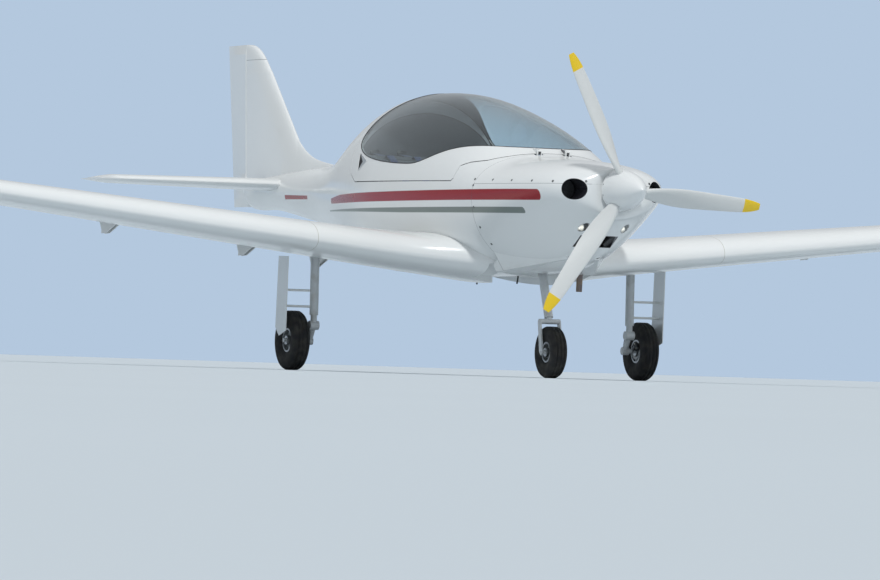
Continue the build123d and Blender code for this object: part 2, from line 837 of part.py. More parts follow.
def tail_blank(x_low):
    """The left half of tailplane and elevator before they are parted, with its rounded tip."""
    tip_start = TAILPLANE_SPAN / 2 - TAIL_TIP
    straight = [
        tail_wire(x, *tail_half_span(x), TAILPLANE_THICKNESS) for x in (x_low, tip_start)
    ]
    cap = []
    for share in (0.0, 0.5, 0.85, 1.0):
        edge, chord = tail_half_span(tip_start + share * TAIL_TIP)
        kept = 1 - 0.3 * share**2.5
        wire = tail_wire(
            tip_start + share * TAIL_TIP,
            edge + chord * (1 - kept),
            chord * kept,
            TAILPLANE_THICKNESS * (1 - 0.6 * share**2),
        )
        cap.append(wire)
    return Solid.make_loft(straight, ruled=True) + Solid.make_loft(cap)


def elevator_nose(x_low, x_high, grow):
    radius = ELEVATOR_NOSE + grow
    start = side_point(x_low, ELEVATOR_HINGE_STATION, TAILPLANE_REL)
    return rod(start, side_point(x_high, ELEVATOR_HINGE_STATION, TAILPLANE_REL), radius)


def behind_elevator_hinge(x_low, x_high):
    return block((x_low, x_high), (ELEVATOR_HINGE_STATION, 6400), (-200, 400))


def tailplane():
    half = tail_blank(0)
    low, high = ELEVATOR_ROOT_OFFSET - MOVING_GAP, TAILPLANE_SPAN / 2 + 10
    half = half - behind_elevator_hinge(-1, high) - elevator_nose(-1, high, MOVING_GAP)
    for x in ELEVATOR_HINGES:
        half = half + tail_lug(x)
    return half + mirrored(half)


def tail_lug(x):
    """A hinge lug that reaches back from the tailplane into the elevator's nose."""
    station, rel = ELEVATOR_HINGE_STATION, TAILPLANE_REL
    low, high = x - LUG_THICKNESS / 2, x + LUG_THICKNESS / 2
    stem = block((low, high), (station - ELEVATOR_NOSE - 20, station), (rel - 7, rel + 7))
    eye = rod(side_point(low, station, rel), side_point(high, station, rel), 8.0)
    bore = rod(
        side_point(low - 9, station, rel),
        side_point(high + 9, station, rel),
        HINGE_PIN + PIN_PLAY,
    )
    return stem + eye - bore


def elevator_half():
    low = ELEVATOR_ROOT_OFFSET
    blank = tail_blank(low)
    high = TAILPLANE_SPAN / 2 + 10
    half = (blank & behind_elevator_hinge(low, high)) + (blank & elevator_nose(low, high, 0))
    station, rel = ELEVATOR_HINGE_STATION, TAILPLANE_REL
    for x in ELEVATOR_HINGES:
        room = LUG_THICKNESS / 2 + 2
        half = half - block(
            (x - room, x + room), (station - ELEVATOR_NOSE - 9, station + 14), (rel - 26, rel + 26)
        )
        half = half + rod(
            side_point(x - room - 2, station, rel), side_point(x + room + 2, station, rel), HINGE_PIN
        )
    return half


def elevator_tube():
    end = ELEVATOR_ROOT_OFFSET - PANEL_GAP
    start = side_point(-end, ELEVATOR_HINGE_STATION, TAILPLANE_REL)
    return tube_between(
        start,
        side_point(end, ELEVATOR_HINGE_STATION, TAILPLANE_REL),
        TORQUE_TUBE_RADIUS,
        TORQUE_TUBE_RADIUS - 2.0,
    )


def rudder_hinge_at(rel):
    (foot, foot_rel), (head, head_rel) = RUDDER_HINGE_FOOT, RUDDER_HINGE_HEAD
    return foot + (head - foot) * (rel - foot_rel) / (head_rel - foot_rel)


def rudder_tail_at(rel):
    return LENGTH - (FIN_TOP_REL - rel) * RUDDER_RAKE


def fin_half_at(rel):
    return FIN_HALF_ROOT + (FIN_HALF_TIP - FIN_HALF_ROOT) * max(rel, 0) / FIN_TOP_REL


def fin_wire(rel, edge, half):
    """A level section of the fin, from its leading edge to the rudder's hinge line."""
    rear = rudder_hinge_at(rel)
    chord = rear - edge

    def spot(x, share):
        return side_point(x, edge + share * chord, rel)

    wide = 1.12 * half
    left = Bezier(spot(0, 0), spot(wide, 0), spot(wide, 0.55), spot(half, 1))
    right = Bezier(spot(-half, 1), spot(-wide, 0.55), spot(-wide, 0), spot(0, 0))
    return Wire([left, Line(spot(half, 1), spot(-half, 1)), right])


def dorsal_wire(station, top, half):
    """An upright section of the ridge ahead of the fin: a narrow round-topped arch."""
    foot = 60.0

    def spot(x, rel):
        return side_point(x, station, rel)

    left = Bezier(spot(half * 1.25, foot), spot(half, top - 0.35 * (top - foot)), spot(half * 0.45, top), spot(0, top))
    right = Bezier(spot(0, top), spot(-half * 0.45, top), spot(-half, top - 0.35 * (top - foot)), spot(-half * 1.25, foot))
    return Wire([left, right, Line(spot(-half * 1.25, foot), spot(half * 1.25, foot))])


def fin():
    """The fin: a straight steep blade with a swept cap, and a low ridge that runs up into it."""
    (foot_rel, foot_edge), (head_rel, head_edge) = FIN_STRAIGHT
    blade_wires = [
        fin_wire(rel, edge, fin_half_at(rel))
        for rel, edge in ((foot_rel, foot_edge), (head_rel, head_edge))
    ]
    cap_wires = [fin_wire(head_rel, head_edge, fin_half_at(head_rel))]
    cap_wires += [fin_wire(rel, edge, fin_half_at(rel) * shrink) for rel, edge, shrink in FIN_CAP]
    ridge = Solid.make_loft([dorsal_wire(*row) for row in DORSAL_ROWS])
    blank = Solid.make_loft(blade_wires, ruled=True) + Solid.make_loft(cap_wires) + ridge
    blank = blank - OUTER - rudder_room()
    for rel in RUDDER_HINGES:
        blank = blank + rudder_lug(rel)
    return blank


def rudder_section(rel, half, rear):
    hinge = rudder_hinge_at(rel)
    nose = ThreePointArc(
        side_point(half, hinge, rel), side_point(0, hinge - half, rel), side_point(-half, hinge, rel)
    )
    back = 2.0
    sides = Polyline(
        side_point(-half, hinge, rel),
        side_point(-back, rear, rel),
        side_point(back, rear, rel),
        side_point(half, hinge, rel),
    )
    return Wire([nose, *sides.edges()])


def rudder_widths():
    """Height and half thickness of the rudder's nose, down to its rounded foot."""
    top = [(rel, fin_half_at(rel)) for rel in (160.0, 600.0, FIN_TOP_REL - 60)]
    return [(-52.0, 30.0), (0.0, 54.0), (60.0, 61.0)] + top + [(FIN_TOP_REL, FIN_HALF_TIP * 0.6)]


def rudder():
    sections = [rudder_section(rel, half, rudder_tail_at(rel)) for rel, half in rudder_widths()]
    body = Solid.make_loft(sections, ruled=True)
    for rel in RUDDER_HINGES:
        hinge = rudder_hinge_at(rel)
        room = LUG_THICKNESS / 2 + 3
        body = body - block((-26, 26), (hinge - 80, hinge + 14), (rel - room, rel + room))
        body = body + hinge_bar(rel, room + 3, HINGE_PIN)
    return body


def hinge_bar(rel, reach, radius):
    """A bar on the rudder's hinge line."""
    start = side_point(0, rudder_hinge_at(rel - reach), rel - reach)
    return rod(start, side_point(0, rudder_hinge_at(rel + reach), rel + reach), radius)


def rudder_lug(rel):
    hinge = rudder_hinge_at(rel)
    half = LUG_THICKNESS / 2
    stem = block((-8, 8), (hinge - fin_half_at(rel) - 16, hinge), (rel - half, rel + half))
    start = side_point(0, hinge, rel - half)
    eye = rod(start, side_point(0, hinge, rel + half), 8.0)
    return stem + eye - hinge_bar(rel, 20, HINGE_PIN + PIN_PLAY)


def rudder_room():
    """The space that the rudder turns in: its grown nose and all that lies behind it."""
    wires = []
    for rel, half in ((-120.0, 36.0), *rudder_widths(), (FIN_TOP_REL + 60, FIN_HALF_TIP)):
        circle = Plane(origin=side_point(0, rudder_hinge_at(rel), rel)) * Circle(half + MOVING_GAP)
        wires.append(circle.wire())
    nose = Solid.make_loft(wires, ruled=True)
    behind = across(
        side_profile(
            (
                (rudder_hinge_at(-120), -120),
                (BEHIND_TAIL + 100, -120),
                (BEHIND_TAIL + 100, FIN_TOP_REL + 60),
                (rudder_hinge_at(FIN_TOP_REL + 60), FIN_TOP_REL + 60),
            )
        ),
        -200,
        200,
    )
    return nose + behind


# Landing gear
def wheel_middle(x, station, radius):
    return Vector(x, along(station), radius)


def ring(x, station, centre_height, profile):
    """A solid turned about a wheel's axle from (radius, offset along the axle) corners."""
    points = [Vector(x + offset_x, along(station), centre_height + r) for r, offset_x in profile]
    face = make_face(Polyline(*points, close=True))
    return revolve(face, Axis((x, along(station), centre_height), (1, 0, 0)), 360)


def tyre(x, station, radius, width, rim):
    """A rounded tyre: a flat tread between round shoulders, and sides drawn in at the rim."""
    half = width / 2
    middle = Vector(x, along(station), radius)

    def spot(r, side):
        return middle + Vector(side, 0, r)

    shoulder = 0.36 * half
    outline = [
        Line(spot(rim, -0.66 * half), spot(rim, 0.66 * half)),
        ThreePointArc(
            spot(rim, 0.66 * half), spot((rim + radius) / 2, half), spot(0.93 * radius, 0.86 * half)
        ),
        ThreePointArc(
            spot(0.93 * radius, 0.86 * half), spot(0.985 * radius, 0.64 * half), spot(radius, shoulder)
        ),
        Line(spot(radius, shoulder), spot(radius, -shoulder)),
        ThreePointArc(
            spot(radius, -shoulder), spot(0.985 * radius, -0.64 * half), spot(0.93 * radius, -0.86 * half)
        ),
        ThreePointArc(
            spot(0.93 * radius, -0.86 * half), spot((rim + radius) / 2, -half), spot(rim, -0.66 * half)
        ),
    ]
    face = make_face(outline)
    return revolve(face, Axis(tuple(middle), (1, 0, 0)), 360)


def rim(x, station, wheel_radius, width, radius):
    """A cast wheel: an outer band, a dished web with round holes, and a hub bored for its axle."""
    half = 0.33 * width
    bore = AXLE_RADIUS + PIN_PLAY
    profile = (
        (bore, -half - 6),
        (bore, half + 6),
        (bore + 14, half + 6),
        (bore + 16, 8),
        (radius - 12, 10),
        (radius - 9, half),
        (radius, half),
        (radius, -half),
        (radius - 9, -half),
        (radius - 12, -4),
        (bore + 16, -6),
        (bore + 14, -half - 6),
    )
    wheel = ring(x, station, wheel_radius, profile)
    middle = Vector(x, along(station), wheel_radius)
    for turn in range(RIM_HOLES):
        angle = radians(360 / RIM_HOLES * turn + 30)
        spot = middle + Vector(0, cos(angle), sin(angle)) * (bore + radius) * 0.54
        wheel = wheel - rod(spot - Vector(half, 0, 0), spot + Vector(half, 0, 0), radius * 0.15)
    return wheel


def main_leg():
    """The left main leg: a strut under the wing, a trailing arm and the axle through the wheel."""
    x_wheel = WHEEL_TRACK / 2
    x_leg = x_wheel - LEG_OFFSET
    top_rel = plane_rel_at(x_leg) - 20
    top = side_point(x_leg, LEG_STATION, top_rel)
    knee = Vector(x_leg, along(LEG_STATION) - 8, MAIN_TYRE_RADIUS + 92)
    axle = wheel_middle(x_leg, MAIN_WHEEL_STATION, MAIN_TYRE_RADIUS)
    strut = rod(top, knee + Vector(0, 0, 60), LEG_RADIUS) + rod(knee + Vector(0, 0, 70), knee, 19.0)
    knuckle = rod(knee - Vector(28, 0, 0), knee + Vector(28, 0, 0), 27.0)
    arm = rod(knee, axle, 17.0)
    hub = rod(axle - Vector(17, 0, 0), axle + Vector(24, 0, 0), 24.0)
    bar = rod(axle, axle + Vector(LEG_OFFSET + 0.33 * MAIN_TYRE_WIDTH + 22, 0, 0), AXLE_RADIUS)
    reach = Vector(0, SLOT_HALF - SEAT_PLAY, 0)
    trunnion = rod(top - reach, top + reach, 20.0)
    return strut + knuckle + arm + hub + bar + trunnion


def leg_door():
    """The left leg's door: a thin curved plate outboard of the wheel, on two stays."""
    x_wheel = WHEEL_TRACK / 2
    x_door = x_wheel + MAIN_TYRE_WIDTH / 2 + 34
    top = height(plane_rel_at(x_door)) - 86
    outline = make_face(
        Polyline(
            Vector(x_door, along(LEG_STATION - 70), top),
            Vector(x_door, along(LEG_STATION + 78), top + 2),
            Vector(x_door, along(LEG_STATION + 98), DOOR_FOOT + 50),
            Vector(x_door, along(LEG_STATION + 40), DOOR_FOOT),
            Vector(x_door, along(LEG_STATION - 62), DOOR_FOOT + 30),
            close=True,
        )
    )
    plate = extrude(outline, DOOR_THICKNESS, dir=(1, 0, 0))
    stays = []
    for lift in (26.0, 120.0):
        start = Vector(x_wheel - LEG_OFFSET + LEG_RADIUS + PANEL_GAP, along(LEG_STATION), 0)
        start.Z = MAIN_TYRE_RADIUS * 2 + lift
        stays.append(rod(start, Vector(x_door + 1, start.Y, start.Z), 7.0))
    return plate + stays[0] + stays[1]


def leg_direction():
    """The nose leg's line, from its foot up to its top."""
    station, rel = NOSE_LEG_TOP
    top = side_point(0, station, rel)
    foot = Vector(0, along(NOSE_WHEEL_STATION - NOSE_TRAIL), NOSE_TYRE_RADIUS)
    return top, foot, (top - foot).normalized()


def nose_leg():
    """The fixed upper leg: a barrel and its cross pin between two ears under the exit's roof."""
    top, foot, up = leg_direction()
    crown = foot + up * CROWN_REACH
    barrel = rod(crown + up * (PANEL_GAP + 12), top + up * 2, LEG_RADIUS)
    trunnion = rod(top - Vector(52, 0, 0), top + Vector(52, 0, 0), 17.0)
    station, rel = NOSE_LEG_TOP
    ears = []
    for side in (-1, 1):
        low, high = min(side * 40, side * 52), max(side * 40, side * 52)
        ear = block((low, high), (station - 36, station + 34), (rel - 18, EXIT_ROOF_REL))
        ears.append(ear & exit_ramp(-PANEL_GAP))
    return barrel + trunnion + ears[0] + ears[1]


def nose_fork():
    """The steered fork: piston, crown, two plates and the axle, bored at its ends for a tow bar."""
    top, foot, up = leg_direction()
    crown = foot + up * CROWN_REACH
    piston = rod(crown - up * 6, crown + up * (PANEL_GAP + 11.6), 18.0)
    bridge = rod(
        crown - Vector(FORK_HALF, 0, 0) - up * 12, crown + Vector(FORK_HALF, 0, 0) - up * 12, 15.0
    )
    axle = wheel_middle(0, NOSE_WHEEL_STATION, NOSE_TYRE_RADIUS)
    fork = piston + bridge + rod(axle - Vector(FORK_HALF, 0, 0), axle + Vector(FORK_HALF, 0, 0), AXLE_RADIUS)
    start = crown - up * 12
    for side in (-1, 1):
        inner = side * (FORK_HALF - FORK_PLATE)
        outer = side * FORK_HALF
        low, high = min(inner, outer), max(inner, outer)
        lean = (axle - start).normalized()
        wide = Vector(0, -lean.Z, lean.Y)
        plate = make_face(
            Polyline(
                *[
                    point + Vector(low, 0, 0)
                    for point in (
                        start + wide * 17,
                        start - wide * 17,
                        axle - wide * 20 - lean * 4,
                        axle + lean * 20,
                        axle + wide * 20 - lean * 4,
                    )
                ],
                close=True,
            )
        )
        fork = fork + extrude(plate, high - low, dir=(1, 0, 0))
    for side in (-1, 1):
        mouth = axle + Vector(side * FORK_HALF, 0, 0)
        deep = Vector(side * TOW_BORE_DEPTH, 0, 0)
        fork = fork - rod(mouth + deep, mouth - deep, TOW_BORE)
    return fork


# Propeller
def spinner():
    """A pointed spinner with a back plate, bored for the shaft and pocketed for the blades."""
    tip, base = side_point(0, 0, 0), side_point(0, SPINNER_LENGTH, 0)
    curve = Bezier(
        tip,
        tip + Vector(0.30 * SPINNER_RADIUS, 16, 0),
        tip + Vector(0.94 * SPINNER_RADIUS, 0.50 * SPINNER_LENGTH, 0),
        base + Vector(SPINNER_RADIUS, 0, 0),
    )
    sides = Polyline(base + Vector(SPINNER_RADIUS, 0, 0), base, tip)
    body = revolve(make_face([curve, sides]), Axis(tuple(tip), (0, 1, 0)), 360)
    bore = rod(side_point(0, SHAFT_END, 0), base + Vector(0, 1, 0), SHAFT_RADIUS + PIN_PLAY)
    return body - bore - propeller_blades()


def blade(angle):
    """One blade, lofted from its round root to its thin tip and twisted along the way."""
    turn = radians(angle)
    out = Vector(cos(turn), 0, sin(turn))
    swing = Vector(-sin(turn), 0, cos(turn))
    ahead = Vector(0, -1, 0)
    hub = side_point(0, BLADE_STATION, 0)
    wires = []
    for radius, chord, thick, pitch in BLADE_SECTIONS:
        lean = radians(pitch)
        edge = swing * cos(lean) + ahead * sin(lean)
        face = ahead * cos(lean) - swing * sin(lean)
        middle = hub + out * radius

        def spot(share, rise, middle=middle, edge=edge, face=face, chord=chord, thick=thick):
            return middle + edge * (0.42 - share) * chord + face * rise * thick

        front = Bezier(spot(0, 0), spot(0, 0.95), spot(0.55, 1.05), spot(1, 0.06))
        back = Bezier(spot(1, -0.06), spot(0.6, -0.35), spot(0, -0.45), spot(0, 0))
        wires.append(Wire([front, Line(spot(1, 0.06), spot(1, -0.06)), back]))
    return Solid.make_loft(wires) + rod(hub + out * 46, hub + out * (BLADE_SECTIONS[0][0] + 12), 21.0)


def propeller_blades():
    return Compound(children=[blade(angle) for angle in BLADE_ANGLES])


# Engine bay
def firewall():
    """The plate behind the engine, with the canopy's two front hinges and a lip between them."""
    plate = CABIN & block((-FAR, FAR), FIREWALL_PLATE, (-FAR, FAR))
    plate = plate - exit_ramp(SKIN + SEAT_PLAY)
    for x in (-CANOPY_HINGE_SPREAD, CANOPY_HINGE_SPREAD):
        plate = plate + hinge_lugs(x)
    return plate + (OUTER & block((-62, 62), FIREWALL_PLATE, (190, 240)))


def engine_block():
    """One plain block with its gearbox and shaft, on four mounting tubes from the firewall."""
    (half, (front, rear), (low, top)) = ENGINE
    body = block((-half, half), (front, rear), (low, top))
    body = fillet(body.edges(), 18)
    gearbox = rod(side_point(0, GEARBOX_FRONT, 0), side_point(0, front + 5, 0), 66.0)
    shaft = rod(side_point(0, SHAFT_END + 4, 0), side_point(0, front, 0), SHAFT_RADIUS)
    engine = body + gearbox + shaft
    for x in (40 - half, half - 40):
        for rel in (low + 40, top - 40):
            start = side_point(x, rear - 5, rel)
            end = side_point(x, FIREWALL_PLATE[0] - PANEL_GAP, rel)
            engine = engine + rod(start, end, 14.0)
    return engine


def exhaust_pipe():
    """The silencer across the bay, and its tail pipe aft through the cooling exit and down."""
    top, knee, foot = side_point(*PIPE_TOP), side_point(*PIPE_KNEE), side_point(*PIPE_FOOT)
    radius = PIPE_RADIUS
    silencer = rod(
        Vector(-SILENCER_HALF, top.Y - 60, top.Z + 60),
        Vector(SILENCER_HALF, top.Y - 60, top.Z + 60),
        SILENCER_RADIUS,
    )
    for x in (-120, 120):
        header = side_point(x, ENGINE[1][1] - 30, ENGINE[2][0] - PANEL_GAP)
        silencer = silencer + rod(header, Vector(x, header.Y, top.Z + 60), radius)
    riser = rod(Vector(top.X, top.Y - 60, top.Z + 60), top, radius)
    pipe = rod(top, knee, radius) + Pos(*knee) * Sphere(radius) + Pos(*top) * Sphere(radius)
    bore = rod(knee + (foot - knee) * 0.3, foot + (foot - knee), radius - 2.0)
    return silencer + riser + pipe + rod(knee, foot, radius) - bore


def landing_lights():
    """Two round lamps let into the chin on either side of the scoop."""
    lamps = [light_bar(side, LAMP_RADIUS - PANEL_GAP) & OUTER for side in (-1, 1)]
    return Compound(children=lamps)


def light_bar(side, radius):
    start = side_point(side * LAMP_SPREAD, LAMP_STATION - 90, LAMP_REL)
    return rod(start, side_point(side * LAMP_SPREAD, LAMP_STATION + 40, LAMP_REL), radius)


# Cabin
def cabin_floor():
    """The floor over the wing, with the centre console standing on it."""
    floor = CABIN & block((-FAR, FAR), (FIREWALL_PLATE[1] + PANEL_GAP, BULKHEAD[0] - PANEL_GAP), FLOOR)
    console = block((-38, 38), (PANEL_STATION + 8 + PANEL_GAP, 1985), (FLOOR[1] - 1, -60))
    console = fillet(console.edges().group_by(Axis.Z)[-1], 12)
    return floor + console


def instrument_panel():
    """The panel with its round dials recessed, and the glare shield over it."""
    face = block((-FAR, FAR), (PANEL_STATION, PANEL_STATION + 8), (-150, 176)) & CABIN_CLEAR
    for x, rel, radius in DIALS:
        start = side_point(x, PANEL_STATION + 3, rel)
        face = face - rod(start, side_point(x, PANEL_STATION + 20, rel), radius)
    hood = across(
        side_profile(
            (
                (FIREWALL_PLATE[1] + PANEL_GAP, 118),
                (PANEL_STATION + 60, 184),
                (PANEL_STATION + 60, 174),
                (FIREWALL_PLATE[1] + PANEL_GAP, 108),
            )
        ),
        -FAR,
        FAR,
    )
    return face + (hood & CABIN_CLEAR)


def seat(side):
    """A moulded seat with a raised cushion edge, its back leaning to the bulkhead."""
    outline = side_profile(SEAT_OUTLINE)
    middle = side * SEAT_SPREAD
    body = across(outline, middle - SEAT_WIDTH / 2, middle + SEAT_WIDTH / 2)
    return fillet(body.edges().filter_by(Axis.X), 14)


def baggage_bulkhead():
    return CABIN_CLEAR & block((-FAR, FAR), BULKHEAD, (FLOOR[1] + PANEL_GAP, FAR))


def control_sticks():
    sticks = []
    for side in (-1, 1):
        foot = side_point(side * SEAT_SPREAD, 1890, FLOOR[1] + PANEL_GAP)
        neck = side_point(side * SEAT_SPREAD, 1865, -45)
        top = side_point(side * SEAT_SPREAD, 1850, 60)
        boot = Pos(*(foot + Vector(0, 0, 15))) * Cone(42, 18, 30)
        sticks.append(boot + rod(foot + Vector(0, 0, 10), neck, 9.0) + rod(neck, top, 17.0))
    return Compound(children=sticks)


def rudder_pedals():
    """Four pedals on one cross bar between the cabin's sides."""
    bar = block((-FAR, FAR), (1392, 1408), (FLOOR[1] + 40, FLOOR[1] + 56)) & CABIN
    for x in (-330, -180, 180, 330):
        stem = block((x - 6, x + 6), (1394, 1406), (FLOOR[1] + 50, FLOOR[1] + 150))
        pad = block((x - 36, x + 36), (1386, 1398), (FLOOR[1] + 105, FLOOR[1] + 185))
        bar = bar + stem + pad
    return bar


def belly_probes():
    """Small aerials and drains that stand down from the belly."""
    probes = []
    for x, station, top, foot in PROBES:
        probes.append(rod(side_point(x, station, top), side_point(x, station + 16, foot), 5.0))
    return Compound(children=probes)


def pitot_tube():
    """A thin tube under the left wing, pointing ahead, on a short mast."""
    x = PITOT_X
    station = edge_at(x) + 0.32 * chord_at(x)
    rel = plane_rel_at(x) - 0.35 * thickness_at(x) * chord_at(x)
    mast = block((x - 4, x + 4), (station - 22, station + 22), (rel - 100, rel))
    return mast + rod(side_point(x, station - 260, rel - 94), side_point(x, station + 24, rel - 94), 6.0)


CABIN = hull(SKIN + SEAT_PLAY)
CABIN_CLEAR = hull(SKIN + MOVING_GAP + 2)


def both_sides(name, left):
    return {f"{name}_left": left, f"{name}_right": mirrored(left)}


def build():
    """Every sub-part by its name, each cut where its neighbours pass through it."""
    centre = wing_centre_section()
    brackets = [flap_bracket(x) for x in FLAP_BRACKETS]
    for x, bracket in zip(FLAP_BRACKETS, brackets):
        if x < PANEL_JOINT:
            centre = centre + (bracket + mirrored(bracket))
    panel = wing_panel()
    for x, bracket in zip(FLAP_BRACKETS, brackets):
        if x > PANEL_JOINT:
            panel = panel + bracket
    for x in AILERON_HINGES:
        lug, _, _ = aileron_hinge(x)
        panel = panel + lug
    pitot = pitot_tube()
    tail, tube = tailplane(), elevator_tube()
    fuselage = fuselage_shell() - centre - tail - rudder_room()
    tube_hole = rod(
        side_point(-FAR, ELEVATOR_HINGE_STATION, TAILPLANE_REL),
        side_point(FAR, ELEVATOR_HINGE_STATION, TAILPLANE_REL),
        ELEVATOR_NOSE + MOVING_GAP,
    )
    fuselage = fuselage - tube_hole
    cowl = cowling()
    for side in (-1, 1):
        cowl = cowl - light_bar(side, LAMP_RADIUS)
    upper = upper_half(cowl)
    around_hinges = (CANOPY_HINGE[0] - 12, CANOPY_HINGE[0] + 40), (180, 260)
    for x in (-CANOPY_HINGE_SPREAD, CANOPY_HINGE_SPREAD):
        upper = upper - block((x - 26, x + 26), *around_hinges)
    fuselage = fuselage - block((-116, 116), *around_hinges)
    probes = belly_probes() - fuselage - centre
    parts = {
        "fuselage_shell": fuselage,
        "cowling_upper": upper,
        "cowling_lower": lower_half(cowl),
        "firewall": firewall(),
        "engine_block": engine_block(),
        "exhaust_pipe": exhaust_pipe(),
        "landing_lights": landing_lights(),
        "wing_centre_section": centre,
        "pitot_tube": pitot - panel,
        "tailplane": tail,
        "fin": fin(),
        "cabin_floor": cabin_floor() - centre,
        "instrument_panel": instrument_panel(),
        "baggage_bulkhead": baggage_bulkhead(),
        "control_sticks": control_sticks(),
        "rudder_pedals": rudder_pedals(),
        "belly_probes": probes,
        "nose_leg": nose_leg(),
        "canopy_frame": canopy_frame(),
        "canopy_glass": canopy_glass(),
        "spinner": spinner(),
        "propeller_blades": propeller_blades(),
        "elevator_tube": tube,
        "rudder": rudder(),
        "nose_fork": nose_fork(),
        "nose_tyre": tyre(
            0, NOSE_WHEEL_STATION, NOSE_TYRE_RADIUS, NOSE_TYRE_WIDTH, NOSE_RIM_RADIUS
        ),
        "nose_rim": rim(0, NOSE_WHEEL_STATION, NOSE_TYRE_RADIUS, NOSE_TYRE_WIDTH, NOSE_RIM_RADIUS),
    }
    main = (WHEEL_TRACK / 2, MAIN_WHEEL_STATION, MAIN_TYRE_RADIUS, MAIN_TYRE_WIDTH, MAIN_RIM_RADIUS)
    pairs = {
        "wing": panel,
        "flap": left_flap(),
        "aileron": left_aileron(),
        "elevator": elevator_half(),
        "seat": seat(1),
        "main_leg": main_leg(),
        "leg_door": leg_door(),
        "main_tyre": tyre(*main),
        "main_rim": rim(*main),
    }
    for name, left in pairs.items():
        parts.update(both_sides(name, left))
    return parts


if __name__ == "__main__":
    os.makedirs("parts", exist_ok=True)
    for name, shape in build().items():
        shape.label = name
        export_step(shape, f"parts/{name}.step")
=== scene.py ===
"""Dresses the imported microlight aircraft: gelcoat, glazing, cabin, tyres, fasteners and the stage.

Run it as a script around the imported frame. Metres; +X is the aircraft's left, +Y aft, +Z up.
"""

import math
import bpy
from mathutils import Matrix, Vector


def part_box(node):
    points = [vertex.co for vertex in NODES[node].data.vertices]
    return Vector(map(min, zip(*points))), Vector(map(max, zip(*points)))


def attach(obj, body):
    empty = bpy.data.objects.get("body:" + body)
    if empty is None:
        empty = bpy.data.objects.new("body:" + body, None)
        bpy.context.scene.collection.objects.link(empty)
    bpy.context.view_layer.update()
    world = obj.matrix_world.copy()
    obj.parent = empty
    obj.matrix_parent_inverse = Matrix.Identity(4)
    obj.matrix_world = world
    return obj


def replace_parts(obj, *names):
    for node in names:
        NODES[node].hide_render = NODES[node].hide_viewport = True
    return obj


bl_info = {
    "name": "Microlight aircraft dressing",
    "version": (1, 0, 0),
    "blender": (4, 5, 0),
    "location": "3D View > Sidebar > Aircraft",
    "description": "Finishes, cabin fittings, fasteners, tyres and a stage for a two-seat microlight",
    "category": "Object",
}

from functools import partialmethod

import bmesh
import bpy
from mathutils import Matrix, Vector
from mathutils.bvhtree import BVHTree

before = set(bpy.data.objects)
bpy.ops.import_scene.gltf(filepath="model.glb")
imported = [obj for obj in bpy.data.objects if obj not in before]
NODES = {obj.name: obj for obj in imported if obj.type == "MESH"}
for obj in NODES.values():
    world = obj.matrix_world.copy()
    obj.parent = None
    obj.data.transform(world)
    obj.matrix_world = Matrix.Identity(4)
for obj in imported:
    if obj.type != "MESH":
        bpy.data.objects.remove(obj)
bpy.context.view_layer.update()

# Where the aircraft's own measures start: stations are aft of the spinner's tip, heights rel are
# from the propeller's axis
TIP_Y = -3.2
HUB_Z = 1.08
MM = 0.001
SIDES = ((1, "left"), (-1, "right"))
AHEAD, AFT, ACROSS = Vector((0, -1, 0)), Vector((0, 1, 0)), Vector((1, 0, 0))


def at(x, station, rel):
    """A point from the aircraft's own measures, in metres."""
    return Vector((x, TIP_Y + station, HUB_Z + rel))


def polar(degrees, reach=1.0):
    """A point of a circle about the origin, as (across, up)."""
    return reach * math.cos(math.radians(degrees)), reach * math.sin(math.radians(degrees))


def wheel_point(degrees, reach=1.0):
    """A point of a circle that stands across the aircraft."""
    across, up = polar(degrees, reach)
    return Vector((across, 0, up))


# Sizes and colours that a user sets
LENGTH = {"unit": "LENGTH", "precision": 4}
ANGLE = {"subtype": "ANGLE"}


def colour_property(name, description, default):
    return bpy.props.StringProperty(name=name, description=description, default=default)


def size_property(name, description, default, kind):
    return bpy.props.FloatProperty(name=name, description=description, default=default, **kind)


class AircraftPaintSettings(bpy.types.PropertyGroup):
    """Colours, as sRGB hex values."""

    gelcoat: colour_property("Gelcoat", "White of the whole airframe", "#E9EBEA")
    stripe: colour_property("Upper stripe", "Dark red band along the fuselage", "#960E1C")
    second_stripe: colour_property("Lower stripe", "Grey band under the red one", "#7C8580")
    blade: colour_property("Blade", "Paint of the propeller blades", "#D6D8D6")
    blade_tip: colour_property("Blade tip", "Warning band at the blades' ends", "#E8C51D")
    lining: colour_property("Cabin lining", "Moulded trim inside the cabin", "#55575C")
    headlining: colour_property("Headlining", "Pale trim over the arch behind the seats", "#B2B4B9")
    cloth: colour_property("Seat cloth", "Woven cover of the seats", "#4A4B50")
    webbing: colour_property("Harness", "Woven straps of the harness", "#2A3A66")
    gear: colour_property("Gear enamel", "Paint of the legs and forks", "#C9CCCD")
    floor: colour_property("Floor", "Studio floor", "#C4CDD3")
    backdrop: colour_property("Backdrop", "What stands behind the aircraft", "#B4C8DE")


class AircraftDetailSettings(bpy.types.PropertyGroup):
    """Sizes of what is added to the frame."""

    screw_diameter: size_property("Screw", "Head of a quarter-turn cowling screw", 0.015, LENGTH)
    screw_proud: size_property("Screw height", "How far a head stands off the skin", 0.0012, LENGTH)
    seal_radius: size_property("Canopy seal", "Radius of the rubber seal round the glass", 0.0027, LENGTH)
    tread_depth: size_property("Tread depth", "Depth of the tyres' grooves", 0.004, LENGTH)
    strap_width: size_property("Strap", "Width of the harness webbing", 0.046, LENGTH)


